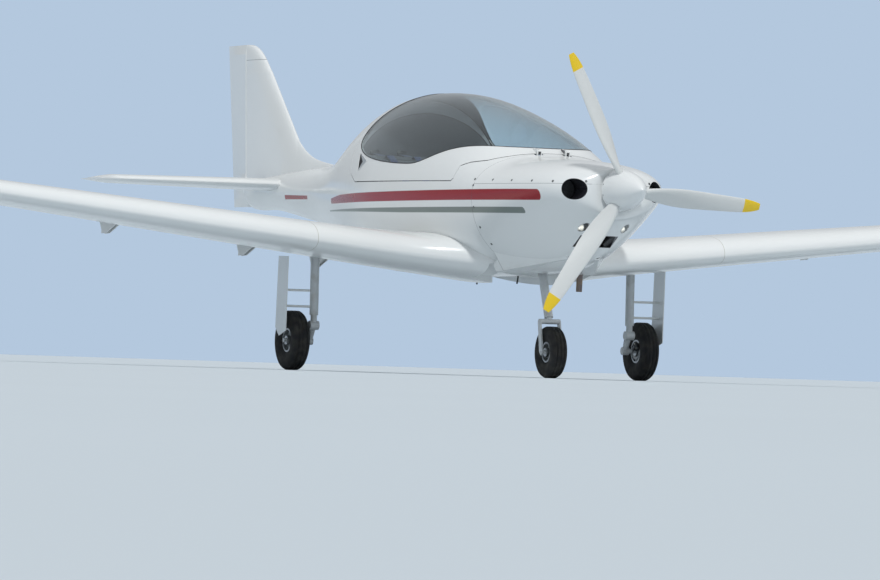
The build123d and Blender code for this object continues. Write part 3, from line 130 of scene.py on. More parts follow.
class AircraftStageSettings(bpy.types.PropertyGroup):
    """Camera and lamps."""

    camera_turn: size_property(
        "Camera turn", "How far the camera stands round to the right side", math.radians(23.3), ANGLE
    )
    camera_roll: size_property("Camera roll", "Tilt of the camera on its axis", math.radians(1.8), ANGLE)
    camera_distance: size_property("Camera distance", "From the lens to the spinner's tip", 42.0, LENGTH)
    camera_height: size_property("Camera height", "Of the lens above the floor", 0.08, LENGTH)
    sky_strength: size_property("Sky", "Strength of the even light from all round", 0.52, {})
    key_strength: size_property("Key lamp", "Strength of the high lamp ahead", 1.75, {})
    fill_strength: size_property("Fill lamps", "Strength of the lamps at the left and behind", 0.5, {})


def paint():
    return bpy.context.scene.aircraft_paint


def details():
    return bpy.context.scene.aircraft_details


# Materials and their nodes
def linear(hex_value, *shares):
    """An sRGB hex value as a linear colour, with its channels times one share or three."""
    channels = [int(hex_value[i : i + 2], 16) / 255 for i in (1, 3, 5)]
    channels = [c / 12.92 if c <= 0.04045 else ((c + 0.055) / 1.055) ** 2.4 for c in channels]
    return (*(min(1.0, c * share) for c, share in zip(channels, (shares or (1.0,)) * 3)), 1.0)


def scale_of(size):
    """The scale of a pattern whose features are about size millimetres across."""
    return 1 / (size * MM)


def fill(socket, value):
    """Links an input to a Field, or sets it to a value. None leaves it as it is."""
    if isinstance(value, Field):
        socket.id_data.links.new(value.node.outputs[value.out], socket)
    elif value is not None:
        socket.default_value = value


def add(tree, kind, *inputs, **settings):
    """Adds a node and gives its first output.

    inputs go to the node's inputs in their own order. A setting with a capital first letter goes to
    the input of that name, and any other is a property of the node.
    """
    node = tree.nodes.new(kind if "Node" in kind else "ShaderNode" + kind)
    for key, value in settings.items():
        if key[0].islower():
            setattr(node, key, value)
        else:
            fill(node.inputs[key.replace("_", " ")], value)
    for socket, value in zip(node.inputs, inputs):
        fill(socket, value)
    return Field(node)


class Field:
    """One output of a node; field[out] is another. Arithmetic on it adds the nodes that do it."""

    def __init__(self, node, out=0):
        self.node = node
        self.out = out

    def __getitem__(self, out):
        return Field(self.node, out)

    def add(self, kind, *inputs, **settings):
        """Adds a node that takes this as its first input."""
        return add(self.node.id_data, kind, self, *inputs, **settings)

    def math(self, operation, *others):
        return self.add("Math", *others, operation=operation)

    def __rsub__(self, other):
        return add(self.node.id_data, "Math", other, self, operation="SUBTRACT")

    __add__ = partialmethod(math, "ADD")
    __sub__ = partialmethod(math, "SUBTRACT")
    __mul__ = partialmethod(math, "MULTIPLY")
    __truediv__ = partialmethod(math, "DIVIDE")
    __pow__ = partialmethod(math, "POWER")


class Finish:
    """A material in the making, with the colour laid on it so far. Sizes and depths are millimetres."""

    def __init__(self, name, colour, roughness, **sockets):
        self.material = bpy.data.materials.new(name)
        self.material.use_nodes = True
        self.tree = self.material.node_tree
        self.shader = self.tree.nodes["Principled BSDF"]
        self.coords = add(self.tree, "TexCoord")["Object"]
        self.colour = linear(colour)
        self.put(Base_Color=self.colour, Roughness=roughness, **sockets)

    def put(self, **sockets):
        """Sets or links the shader's own sockets."""
        for key, value in sockets.items():
            fill(self.shader.inputs[key.replace("_", " ")], value)

    def lay(self, mask, colour):
        """Lays a colour over what is there, as far as the mask says."""
        colour = linear(colour) if isinstance(colour, str) else colour
        mix = add(self.tree, "Mix", mask, *[None] * 5, self.colour, colour, data_type="RGBA")
        self.colour = mix[2]
        self.put(Base_Color=self.colour)

    def grain(self, size, depth, strength, detail=2.0):
        """Presses in a fine unevenness."""
        self.press(self.coords.add("TexNoise", Scale=scale_of(size), Detail=detail), depth, strength)

    def press(self, height, depth, strength):
        """Presses a height field into the surface."""
        self.put(Normal=add(self.tree, "Bump", strength, depth * MM, None, height))

    def mottle(self, size, colour, low=0.0, high=1.0, first=0.0, last=1.0, detail=4.0):
        """Lays a colour on in patches."""
        patches = self.coords.add("TexNoise", Scale=scale_of(size), Detail=detail)
        self.lay(patches.add("MapRange", low, high, first, last), colour)

    def show(self, sheet):
        """Shows another shader in place of the material's own."""
        fill(self.tree.nodes["Material Output"].inputs["Surface"], sheet)

    def measures(self):
        """The aircraft's own measures on the surface: x, station and height rel."""
        parts = self.coords.add("SeparateXYZ")
        return parts, parts[1] - TIP_Y, parts[2] - HUB_Z


def step(value, edge, soft=0.0015):
    """0 below the edge and 1 above it, over a few millimetres."""
    return (value - edge).add("MapRange", -soft, soft, 0.0, 1.0)


def band(value, low, high):
    return step(value, low) - step(value, high)


def within(value, middle, half):
    """1 where value is within half of middle."""
    return 1.0 - step((value - middle).math("ABSOLUTE"), half, 0.0004)


def distance(across, up):
    """How far from the middle of a circle a place is."""
    return (across**2.0 + up**2.0).math("SQRT")


def stops(source, rows):
    """A colour ramp over source through (place, colour) rows."""
    shade = source.add("ValToRGB")
    points = shade.node.color_ramp.elements
    for index, (place, colour) in enumerate(rows):
        point = points[index] if index < 2 else points.new(place)
        point.position, point.color = place, colour
    return shade


# Stripes that the gelcoat shows: the heights of their edges as (station, rel), the stations where
# they end, and the middle and radius of a rounded front. The range holds them all
STRIPE_RANGE = (0.5, 5.1)
STRIPE_RELS = (-0.2, 0.1)
RED_TOP = ((0.58, -0.003), (0.97, 0.0), (1.5, -0.003), (2.9, -0.011), (3.3, -0.016), (3.6, -0.034))
RED_FOOT = ((0.58, -0.065), (1.5, -0.064), (2.9, -0.067), (3.16, -0.074), (3.45, -0.067), (3.6, -0.064))
RED_ENDS = (0.5, 3.60)
RED_FRONT = (0.617, -0.034, 0.0325)
GREY_TOP = ((0.76, -0.104), (2.1, -0.101), (3.3, -0.094), (3.7, -0.090))
GREY_FOOT = ((0.76, -0.140), (2.15, -0.133), (3.05, -0.120), (3.7, -0.111))
GREY_ENDS = (0.765, 3.70)
GREY_FRONT = (0.783, -0.122, 0.019)
REAR_TOP = ((4.45, -0.001), (4.97, 0.010))
REAR_FOOT = ((4.45, -0.024), (4.97, -0.018))
REAR_ENDS = (4.45, 4.97)
# Gaps that are a fraction of a millimetre on the aircraft are drawn 2.5 mm wide, so that they show
SEAM_HALF = 0.00125
SEAM_SHARE = 0.6
# Where the seams are: between the cowling's halves, behind them, and on the wings and the fin
COWL_JOINT_REL = 0.030
COWL_ENDS = (0.33, 1.26)
WING_JOINT_X = 1.3
FIN_CAP_REL = 0.885
# Middle height of the fuselage's sections: what faces it is the lined inside
SECTION_REL = -0.05
# The round intakes' x and radius, and the chin scoop's middle height and half size
INTAKE_MIDDLE = 0.252
INTAKE_BORE = 0.060
SCOOP_REL, SCOOP_HALF_HEIGHT, SCOOP_HALF_WIDTH = -0.290, 0.0326, 0.1186
# Arch of the panel behind the seats: half width, height and where its foot stands
ARCH = (0.46, 0.37, 0.12)
BLADE_BAND_REACH = 0.745
FIREWALL_LIP_REL = 0.186


def curve(station, rows):
    """A height rel that changes with station, from (station, rel) rows."""
    (start, end), (low, high) = STRIPE_RANGE, STRIPE_RELS
    grey = []
    for place, rel in rows:
        level = (rel - low) / (high - low)
        grey.append(((place - start) / (end - start), (level, level, level, 1.0)))
    shade = stops(station.add("MapRange", start, end, 0.0, 1.0), grey)
    return shade.add("MapRange", 0.0, 1.0, low, high)


def stripe(station, rel, top, foot, ends, front=None):
    """Where a painted band lies. Its front end is a half disc where its middle and radius are given."""
    mask = step(rel, curve(station, foot)) * (1.0 - step(rel, curve(station, top))) * band(station, *ends)
    if front:
        ahead = (station - front[0]).math("MINIMUM", 0.0)
        mask = mask * (1.0 - step(distance(ahead, rel - front[1]), front[2]))
    return mask


def intake_painted_shade(x, station, rel):
    """1 inside the two round intakes and deep in the chin scoop, where the gelcoat takes painted shade for
    the shadow in these recesses.
    """
    off = x.math("ABSOLUTE") - INTAKE_MIDDLE
    bore = (off**2.0 + rel**2.0).math("LESS_THAN", (INTAKE_BORE + 0.0004) ** 2)
    bore = bore * station.add("MapRange", 0.60, 0.601, 1.0, 0.0)
    scoop = within(rel, SCOOP_REL, SCOOP_HALF_HEIGHT) * within(x, 0.0, SCOOP_HALF_WIDTH)
    scoop = scoop * station.add("MapRange", 0.47, 0.56, 0.0, 1.0)
    return bore.math("MAXIMUM", scoop * station.add("MapRange", 0.765, 0.766, 1.0, 0.0))


def gelcoat(name, striped=False, lined=False, joint=False, capped=False):
    """Sprayed and polished gelcoat over composite: glossy, with the faintest ripple and some road film.

    The clear polish gives sharp highlights over a white that is slightly uneven in the large.
    """
    settings = paint()
    finish = Finish(name, settings.gelcoat, 0.24, Coat_Weight=0.5, Coat_Roughness=0.1, IOR=1.5)
    finish.mottle(909, linear(settings.gelcoat, 0.86, 0.85, 0.82), 0.3, 0.75, 0.0, 0.22, detail=2.0)
    x, station, rel = finish.measures()
    if striped:
        # Belly film: oil mist and grass stain that gather under the engine and along the belly
        stretched = finish.coords.add("Mapping", Scale=(6.0, 0.6, 6.0))
        streaks = stretched.add("TexNoise", Scale=scale_of(111), Detail=5.0, Roughness=0.6)
        low = rel.add("MapRange", -0.50, -0.40, 0.5, 0.0)
        finish.lay(low * streaks.add("MapRange", 0.4, 0.75, 0.1, 1.0), "#B9B4A8")
        red = stripe(station, rel, RED_TOP, RED_FOOT, RED_ENDS, RED_FRONT)
        red = red.math("MAXIMUM", stripe(station, rel, REAR_TOP, REAR_FOOT, REAR_ENDS))
        grey = stripe(station, rel, GREY_TOP, GREY_FOOT, GREY_ENDS, GREY_FRONT)
        finish.lay(grey, settings.second_stripe)
        finish.lay(red, settings.stripe)
        # The bands are film laid over the gelcoat, less glossy than it
        finish.put(Coat_Weight=red.math("MAXIMUM", grey).add("MapRange", 0.0, 1.0, 0.5, 0.05))
        seams = within(rel, COWL_JOINT_REL, SEAM_HALF) * band(station, *COWL_ENDS)
        seams = seams.math("MAXIMUM", within(station, COWL_ENDS[1], SEAM_HALF))
        finish.lay(seams * SEAM_SHARE, "#3E4042")
        # Painted shade: the insides of the round intakes, and the chin scoop more towards its back, are laid
        # near-black grey for the shadow in them
        finish.lay(intake_painted_shade(x, station, rel), "#2B2A30")
    if joint:
        finish.lay(within(x.math("ABSOLUTE"), WING_JOINT_X, SEAM_HALF) * SEAM_SHARE, "#7A6C33")
    if capped:
        finish.lay(within(rel, FIN_CAP_REL, SEAM_HALF * 1.6) * SEAM_SHARE, "#57585A")
    if lined:
        # Faces that look in towards the middle of the section, by their normal
        arm = add(finish.tree, "CombineXYZ", x, None, rel - SECTION_REL)
        facing = finish.coords["Normal"].add("VectorMath", arm, operation="DOT_PRODUCT")["Value"]
        inner = facing.math("LESS_THAN", -0.03)
        finish.lay(inner, settings.lining)
        finish.put(Roughness=inner.add("MapRange", 0.0, 1.0, 0.24, 0.7))
    # Orange peel: a faint ripple in what the gelcoat mirrors
    finish.grain(9.1, 0.04, 0.6)
    return finish.material


def clear_sheet(name, tint, size, depth):
    """Thin clear sheet: what is behind it shows straight through, and it mirrors more at a low angle."""
    finish = Finish(name, "#FFFFFF", 0.02, Metallic=1.0)
    clear = add(finish.tree, "BsdfTransparent", linear(tint))
    turned_away = add(finish.tree, "LayerWeight", 0.5)["Facing"]
    mirror = turned_away**5.0 * 0.96 + 0.04
    finish.show(mirror.add("MixShader", clear, Field(finish.shader)))
    finish.grain(size, depth, 0.25, detail=1.0)
    return finish.material


def acrylic():
    """Blown clear acrylic: faintly cool, with a very soft waviness left by the blowing."""
    return clear_sheet("blown_acrylic", "#F3F8F8", 333, 0.6)


def lamp_glass():
    """Pressed clear glass, slightly uneven from the mould: the lamps' lenses."""
    return clear_sheet("pressed_glass", "#FAFBFA", 16.7, 0.3)


def moulded_lining(name="moulded_lining", arched=False):
    """Vacuum-formed ABS trim: matt, with a leather-like grain, rubbed paler in patches.

    The panel behind the seats has pale headlining over an arch.
    """
    colour = paint().lining
    finish = Finish(name, colour, 0.62)
    finish.press(finish.coords.add("TexVoronoi", Scale=scale_of(2.38)), 0.4, 0.5)
    finish.mottle(71.4, linear(colour, 1.35), 0.45, 0.75, 0.0, 0.5)
    if arched:
        x, _, rel = finish.measures()
        half_width, height, foot = ARCH
        reach = distance(x / half_width, (rel - foot) / height)
        finish.lay(step(reach, 1.0, 0.004), paint().headlining)
        finish.lay(within(reach, 1.0, 0.009), "#232427")
    return finish.material


def woven_cloth(name, colour, spacing, sheen=0.35):
    """Plain weave: two sets of threads at the given spacing, with a soft sheen at grazing angles."""
    finish = Finish(name, colour, 0.88, Sheen_Weight=sheen, Sheen_Roughness=0.5)
    parts = finish.coords.add("SeparateXYZ")
    turns = math.pi / (spacing * MM)
    weave = (parts * turns).math("SINE") * (parts[1] * turns + parts[2] * turns).math("SINE")
    finish.press(weave, spacing * 0.25, 0.7)
    worn = finish.coords.add("TexNoise", Scale=scale_of(33.3), Detail=4.0)
    mottled = worn.add("MapRange", 0.35, 0.7, 0.15, 0.85)
    finish.lay(weave.add("MapRange", -1.0, 1.0, 0.0, 0.8) * mottled, linear(colour, 0.62))
    return finish.material


def cast_metal(name, colour, roughness, pits=3.85, depth=0.12):
    """Cast or machined metal: fine pits from the mould and uneven polish, which break its glints."""
    finish = Finish(name, colour, roughness, Metallic=1.0)
    finish.grain(pits, depth, 0.6, detail=3.0)
    wear = finish.coords.add("TexNoise", Scale=scale_of(41.7), Detail=4.0)
    finish.put(Roughness=wear.add("MapRange", 0.3, 0.7, roughness * 0.8, roughness * 1.25))
    return finish.material


def enamel(name, colour):
    """Sprayed enamel on steel: semi-gloss, with a slight peel and dust in the low places."""
    finish = Finish(name, colour, 0.35, Coat_Weight=0.2, Coat_Roughness=0.15)
    finish.mottle(55.6, "#9B9486", 0.5, 0.8, 0.0, 0.45)
    finish.grain(5.56, 0.05, 0.6)
    return finish.material


def tyre_rubber():
    """Vulcanised rubber: near black and matt, dusty in patches, with fine moulding ripples."""
    finish = Finish("vulcanised_rubber", "#1B1B1C", 0.82)
    finish.mottle(45.5, "#4B463E", 0.42, 0.75, 0.0, 0.55, detail=5.0)
    finish.grain(2.0, 0.2, 0.5)
    return finish.material


def blade_paint():
    """Two-pack paint on carbon: pale grey blades with a yellow band over the last tenth of a metre."""
    finish = Finish("blade_paint", paint().blade, 0.32, Coat_Weight=0.3)
    x, _, rel = finish.measures()
    finish.lay(step(distance(x, rel), BLADE_BAND_REACH), paint().blade_tip)
    # Stone chips and flies along the blades
    chips = finish.coords.add("TexNoise", Scale=scale_of(3.85), Detail=4.0, Roughness=0.7)
    finish.lay(chips.add("MapRange", 0.68, 0.74, 0.0, 0.6), "#7A7D7C")
    finish.press(chips, 0.15, 0.3)
    return finish.material


def exhaust_steel():
    """Stainless tube, straw and blue where it runs hot and sooty inside its end."""
    finish = Finish("heat_tinted_stainless", "#8D7B68", 0.38, Metallic=1.0)
    tints = ((0.3, "#6C6A72"), (0.5, "#8D7B68"), (0.62, "#B08B5A"), (0.75, "#5C4A48"))
    heat = finish.coords.add("TexNoise", Scale=scale_of(83.3), Detail=4.0)
    finish.put(Base_Color=stops(heat, [(place, linear(tint)) for place, tint in tints]))
    finish.grain(11.1, 0.2, 0.5, detail=3.0)
    return finish.material


def plain(name, colour, roughness, **sockets):
    """A finish of one colour with a fine grain, such as rubber strip, satin black or a dial's face."""
    finish = Finish(name, colour, roughness, **sockets)
    finish.mottle(25.0, linear(colour, 0.8))
    finish.grain(3.33, 0.1, 0.4)
    return finish.material


def firewall_sheet():
    """Bare stainless sheet, its hinge lugs and lip painted with the airframe above the cowling."""
    finish = Finish("firewall_sheet", "#8E9092", 0.35)
    finish.mottle(28.6, "#6E6F70")
    painted = step(finish.measures()[2], FIREWALL_LIP_REL)
    finish.lay(painted, paint().gelcoat)
    finish.put(Metallic=1.0 - painted)
    stretched = finish.coords.add("Mapping", Scale=(1.0, 1.0, 12.0))
    finish.press(stretched.add("TexNoise", Scale=scale_of(12.5), Detail=3.0), 0.08, 0.6)
    return finish.material


# Mesh helpers
def link(obj):
    bpy.context.scene.collection.objects.link(obj)
    return obj


def fit(piece, body="airframe"):
    """Says which body carries a piece."""
    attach(piece, body)
    return piece


def mesh_of(name, bm):
    mesh = bpy.data.meshes.new(name)
    bmesh.ops.recalc_face_normals(bm, faces=bm.faces)
    bm.to_mesh(mesh)
    bm.free()
    return mesh


def smoothed(mesh, material):
    """Smooth faces and one material."""
    for polygon in mesh.polygons:
        polygon.use_smooth = True
    mesh.materials.clear()
    mesh.materials.append(material)


def mesh_object(name, bm, material):
    mesh = mesh_of(name, bm)
    smoothed(mesh, material)
    return link(bpy.data.objects.new(name, mesh))


def template(name, bm):
    """A small shape for scatter, kept out of the scene."""
    return bpy.data.objects.new(name, mesh_of(name, bm))


def baked(obj):
    """obj as a plain mesh with its modifiers applied and none left on it."""
    graph = bpy.context.evaluated_depsgraph_get()
    mesh = bpy.data.meshes.new_from_object(obj.evaluated_get(graph), depsgraph=graph)
    if obj.type == "MESH":
        obj.modifiers.clear()
        obj.data = mesh
        return obj
    name, material = obj.name, obj.data.materials[0]
    bpy.data.objects.remove(obj)
    if not mesh.materials:
        mesh.materials.append(material)
    return link(bpy.data.objects.new(name, mesh))


def grid_skin(rows, closed_ends=False, capped=False):
    """A bmesh with faces between rings of points; the ends meet or are capped where asked."""
    bm = bmesh.new()
    made = [[bm.verts.new(point) for point in row] for row in rows]
    count = len(made[0])
    for low, high in list(zip(made, made[1:])) + ([(made[-1], made[0])] if closed_ends else []):
        for i in range(count):
            j = (i + 1) % count
            bm.faces.new((low[i], low[j], high[j], high[i]))
    if capped:
        bm.faces.new(made[0])
        bm.faces.new(made[-1])
    return bm


def turned(name, profile, centre, axis, material, steps=48):
    """A closed ring or disc from (radius, offset along axis) corners, turned about an axis."""
    axis = Vector(axis).normalized()
    side = axis.orthogonal().normalized()
    other = axis.cross(side)
    rows = []
    for turn in range(steps):
        across, up = polar(360 * turn / steps)
        out = side * across + other * up
        rows.append([Vector(centre) + out * radius + axis * offset for radius, offset in profile])
    bm = grid_skin(rows, closed_ends=True)
    bmesh.ops.remove_doubles(bm, verts=bm.verts, dist=1e-6)
    return mesh_object(name, bm, material)


def tube(name, points, radius, material, cyclic=False, sides=4):
    """A round bar along a smooth line."""
    curve = bpy.data.curves.new(name, "CURVE")
    curve.dimensions = "3D"
    curve.bevel_depth = radius
    curve.bevel_resolution = sides
    curve.resolution_u = 2 if cyclic else 4
    curve.use_fill_caps = True
    spline = curve.splines.new("NURBS")
    spline.points.add(len(points) - 1)
    for point, place in zip(spline.points, points):
        point.co = (*place, 1.0)
    spline.order_u = 3
    spline.use_endpoint_u = not cyclic
    spline.use_cyclic_u = cyclic
    curve.materials.append(material)
    return baked(link(bpy.data.objects.new(name, curve)))


def extruded(name, outline, x_low, x_high, material, bevel, segments=3):
    """A closed bar across the aircraft from a (station, rel) outline, with rounded edges."""
    bm = grid_skin([[at(x, *corner) for corner in outline] for x in (x_low, x_high)], capped=True)
    bmesh.ops.recalc_face_normals(bm, faces=bm.faces)
    edges = list(bm.edges)
    bmesh.ops.bevel(bm, geom=edges, offset=bevel, segments=segments, profile=0.5, affect="EDGES")
    return mesh_object(name, bm, material)


class Skin:
    """The outside of some CAD nodes, to set small things on."""

    def __init__(self, *names):
        graph = bpy.context.evaluated_depsgraph_get()
        self.trees = [BVHTree.FromObject(NODES[name], graph) for name in names]

    def hit(self, origin, direction):
        """Nearest point and outward normal where a ray meets the nodes, or None."""
        best = None
        for tree in self.trees:
            place, normal, _, away = tree.ray_cast(origin, direction)
            if place is not None and (best is None or away < best[2]):
                best = (place, normal if normal.dot(direction) < 0 else -normal, away)
        return best

    def from_side(self, side, station, rel):
        """The skin as met from far out at one side: side is 1 on the left, -1 on the right."""
        return self.hit(at(side * 3.0, station, rel), Vector((-side, 0, 0)))


def scatter_tree(name, shape, material):
    """Geometry Nodes that set one small shape on each point, turned to its facing and along."""
    tree = bpy.data.node_groups.new(name, "GeometryNodeTree")
    tree.interface.new_socket("Geometry", in_out="INPUT", socket_type="NodeSocketGeometry")
    size = tree.interface.new_socket("Size", in_out="INPUT", socket_type="NodeSocketFloat")
    size.default_value = 1.0
    tree.interface.new_socket("Geometry", in_out="OUTPUT", socket_type="NodeSocketGeometry")
    source = add(tree, "NodeGroupInput")
    instance = add(tree, "GeometryNodeObjectInfo", shape)["Geometry"]
    named, turn_to = "GeometryNodeInputNamedAttribute", "FunctionNodeAlignRotationToVector"
    facing = add(tree, named, "facing", data_type="FLOAT_VECTOR")
    along = add(tree, named, "along", data_type="FLOAT_VECTOR")
    up = add(tree, turn_to, axis="Z", Vector=facing)
    turned_to = up.add(turn_to, axis="X", pivot_axis="Z", Vector=along)
    copies = source.add(
        "GeometryNodeInstanceOnPoints", Instance=instance, Rotation=turned_to, Scale=source["Size"]
    )
    painted = copies.add("GeometryNodeRealizeInstances").add("GeometryNodeSetMaterial", Material=material)
    painted.add("NodeGroupOutput")
    return tree, size.identifier


def scatter(name, shape, places, material, body="airframe", size=1.0):
    """shape set on each (point, facing, along) place, as one plain mesh that rides on body."""
    mesh = bpy.data.meshes.new(name)
    mesh.from_pydata([tuple(place[0]) for place in places], [], [])
    for index, key in ((1, "facing"), (2, "along")):
        layer = mesh.attributes.new(key, "FLOAT_VECTOR", "POINT")
        for item, place in zip(layer.data, places):
            item.vector = place[index]
    obj = link(bpy.data.objects.new(name, mesh))
    tree, size_id = scatter_tree(name + "_nodes", shape, material)
    modifier = obj.modifiers.new("Scatter", "NODES")
    modifier.node_group = tree
    modifier[size_id] = size
    obj = baked(obj)
    bpy.data.node_groups.remove(tree)
    return fit(obj, body)


def screw_head(radius, proud):
    """A low domed head with a cross recess, its foot 1 mm below the skin."""
    rings = ((radius, -0.001), (radius, proud * 0.5), (radius * 0.86, proud))
    bm = grid_skin([[(*polar(18 * i, reach), lift) for i in range(20)] for reach, lift in rings])
    bm.verts.ensure_lookup_table()
    bm.faces.new(bm.verts[:20])
    arm, half = radius * 0.55, radius * 0.12
    quarter = ((arm, -half), (arm, half), (half, half))
    cross = []
    for _ in range(4):
        cross += quarter
        quarter = [(-y, x) for x, y in quarter]
    top = [bm.verts.new((x, y, proud)) for x, y in cross]
    low = [bm.verts.new((x, y, proud - half)) for x, y in cross]
    bm.faces.new(low)
    for i in range(12):
        j = (i + 1) % 12
        bm.faces.new((top[i], top[j], low[j], low[i]))
    rims = [edge for edge in bm.edges if edge.is_boundary]
    bmesh.ops.triangle_fill(bm, edges=rims, use_beauty=True)
    return template("screw_head", bm)


def finish_named(name):
    return bpy.data.materials[name]


# Finishes of the CAD nodes
class AIRCRAFT_OT_finishes(bpy.types.Operator):
    """Gives every CAD node the finish of the real piece."""

    bl_idname = "aircraft.finishes"
    bl_label = "Finishes"

    def execute(self, context):
        finishes = {
            gelcoat("striped_gelcoat", striped=True, lined=True): (
                "fuselage_shell cowling_upper cowling_lower"
            ),
            gelcoat("canopy_frame_gelcoat", lined=True): "canopy_frame",
            gelcoat("wing_gelcoat", joint=True): "wing_centre_section wing_left wing_right",
            gelcoat("fin_gelcoat", capped=True): "fin",
            gelcoat("polished_gelcoat"): (
                "tailplane rudder spinner elevator_left elevator_right flap_left flap_right aileron_left "
                "aileron_right leg_door_left leg_door_right"
            ),
            acrylic(): "canopy_glass",
            moulded_lining(): "cabin_floor instrument_panel",
            moulded_lining("bulkhead_trim", arched=True): "baggage_bulkhead",
            enamel("gear_enamel", paint().gear): (
                "nose_leg nose_fork main_leg_left main_leg_right elevator_tube pitot_tube"
            ),
            cast_metal("machined_wheel_alloy", "#B9BBBC", 0.36): "nose_rim main_rim_left main_rim_right",
            plain("satin_black", "#18191A", 0.45): "control_sticks rudder_pedals belly_probes",
            firewall_sheet(): "firewall",
            cast_metal("cast_aluminium", "#77797B", 0.5, 5.56): "engine_block",
            exhaust_steel(): "exhaust_pipe",
            blade_paint(): "propeller_blades",
            lamp_glass(): "landing_lights",
            tyre_rubber(): "nose_tyre main_tyre_left main_tyre_right",
        }
        for material, names in finishes.items():
            for name in names.split():
                data = NODES[name].data
                data.materials.clear()
                data.materials.append(material)
        return {"FINISHED"}


# Tyres and wheels: tyre, rim, body, tread radius, rim radius and half width
WHEELS = (
    ("nose_tyre", "nose_rim", "nose_wheel", 0.150, 0.060, 0.0475),
    ("main_tyre_left", "main_rim_left", "main_wheel_left", 0.175, 0.070, 0.0525),
    ("main_tyre_right", "main_rim_right", "main_wheel_right", 0.175, 0.070, 0.0525),
)
# Which way each face of a rim's web looks, and its x from the middle
RIM_FACES = ((-1, -0.005), (1, 0.010))
BOLT_CIRCLE = 0.56
DISC_X = 0.030
DISC_PROFILE = ((0.028, 0.0), (0.060, 0.0), (0.060, 0.005), (0.028, 0.005))
# How far above straight ahead of the axle the brake calipers sit, in degrees
CALIPER_LIFT = 35
# A caliper's pieces: start and end along its radius, half height, reach along the axle and rounding
CALIPER = {
    "body": ((0.034, 0.063, 0.023), (0.0362, 0.0570), 0.003),
    "arm": ((0.0, 0.050, 0.013), (0.0570, 0.0620), 0.001),
}


def middle_of(node):
    low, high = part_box(node)
    return (Vector(low) + Vector(high)) / 2


def tyre_profile(radius, rim, half, groove):
    """The tyre's section from the rim over the tread and back, as (radius, offset) corners."""
    side = [(rim, 0.64), (rim + 0.006, 0.74), (rim + 0.02, 0.9), ((rim + radius) / 2, 0.995)]
    shoulder = ((0.86, 0.965), (0.91, 0.89), (0.945, 0.82), (0.97, 0.72))
    side += [(radius * share, out) for share, out in shoulder]
    # One groove each side of the middle, its lands a little lower, and one in the middle
    crown = [(radius * 0.986, 0.62)]
    land = radius - 0.0004
    crown += [(land, 0.55), (land - groove, 0.53), (land - groove, 0.39), (land, 0.37)]
    crown += [(radius, 0.10), (radius - groove, 0.08), (radius - groove, -0.08)]
    right = [(r, share * half) for r, share in side + crown]
    left = [(r, -offset) for r, offset in reversed(right)]
    inner = [(rim - 0.0005, -0.6 * half), (rim - 0.0005, 0.6 * half)]
    return right + left + inner


class AIRCRAFT_OT_wheels(bpy.types.Operator):
    """Tyres with circular grooves, and the bolts, valves and brakes of the wheels."""

    bl_idname = "aircraft.wheels"
    bl_label = "Tyres, bolts and brakes"

    def execute(self, context):
        zinc = cast_metal("zinc_plated_steel", "#A9A69A", 0.34, 2.5)
        bolt = screw_head(0.0055, 0.004)
        self.wheels(bolt, zinc)
        self.brakes(bolt, zinc)
        return {"FINISHED"}

    def wheels(self, bolt, zinc):
        for tyre, rim, body, radius, rim_radius, half in WHEELS:
            centre = middle_of(tyre)
            profile = tyre_profile(radius, rim_radius, half, details().tread_depth)
            rubber = finish_named("vulcanised_rubber")
            piece = turned(tyre + "_grooved", profile, centre, ACROSS, rubber, steps=144)
            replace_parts(piece, tyre)
            fit(piece, body)
            places = []
            for side, face_x in RIM_FACES:
                for turn in range(6):
                    out = Vector((0, *polar(60 * turn)))
                    spot = centre + ACROSS * face_x + out * rim_radius * BOLT_CIRCLE
                    places.append((spot, ACROSS * side, out))
            scatter(rim + "_bolts", bolt, places, zinc, body)
            foot = centre + Vector((0.008, 0, -rim_radius + 0.012))
            line = [foot, foot + Vector((0.010, 0, 0.004)), foot + Vector((0.026, 0, 0.008))]
            fit(tube(rim + "_valve", line, 0.0032, finish_named("satin_black")), body)

    def brakes(self, bolt, zinc):
        """A disc on each main wheel, and the cast caliper ahead of its axle on an arm."""
        disc_steel = cast_metal("ground_brake_steel", "#8C8C8B", 0.28, 1.11)
        caliper_metal = cast_metal("cast_caliper", "#6E7073", 0.45, 3.33)
        for side, name in SIDES:
            centre = middle_of("main_rim_" + name)
            inner = ACROSS * -side
            foot = centre + inner * DISC_X
            disc = turned(f"brake_disc_{name}", DISC_PROFILE, foot, inner, disc_steel, steps=72)
            fit(disc, f"main_wheel_{name}")
            forward, up = polar(CALIPER_LIFT)
            ahead = Vector((0, -forward, up))
            across = inner.cross(ahead)
            for label, ((near, far, half), reaches, bevel) in CALIPER.items():
                corners = []
                for reach, height in ((near, -half), (far, -half), (far, half), (near, half)):
                    spot = centre + ahead * reach + across * height
                    corners.append((spot.y - TIP_Y, spot.z - HUB_Z))
                low, high = sorted(centre.x - side * reach for reach in reaches)
                name_here = f"brake_caliper_{label}_{name}"
                fit(extruded(name_here, corners, low, high, caliper_metal, bevel, 2))
            face = centre + inner * 0.0568 + ahead * 0.055
            places = [(face + across * height, inner, ahead) for height in (-0.0165, 0.0165)]
            scatter(f"brake_bolts_{name}", bolt, places, zinc)


# Cabin. Side outlines are (station, rel), lengths along a cushion are shares of its own
SEAT_MIDDLE = 0.262
PAN_HALF = 0.213
PAN_OUTLINE = (
    (1.992, -0.2340), (2.012, -0.160), (2.450, -0.190), (2.884, 0.202),
    (2.914, 0.222), (2.592, -0.200), (2.556, -0.2340),
)
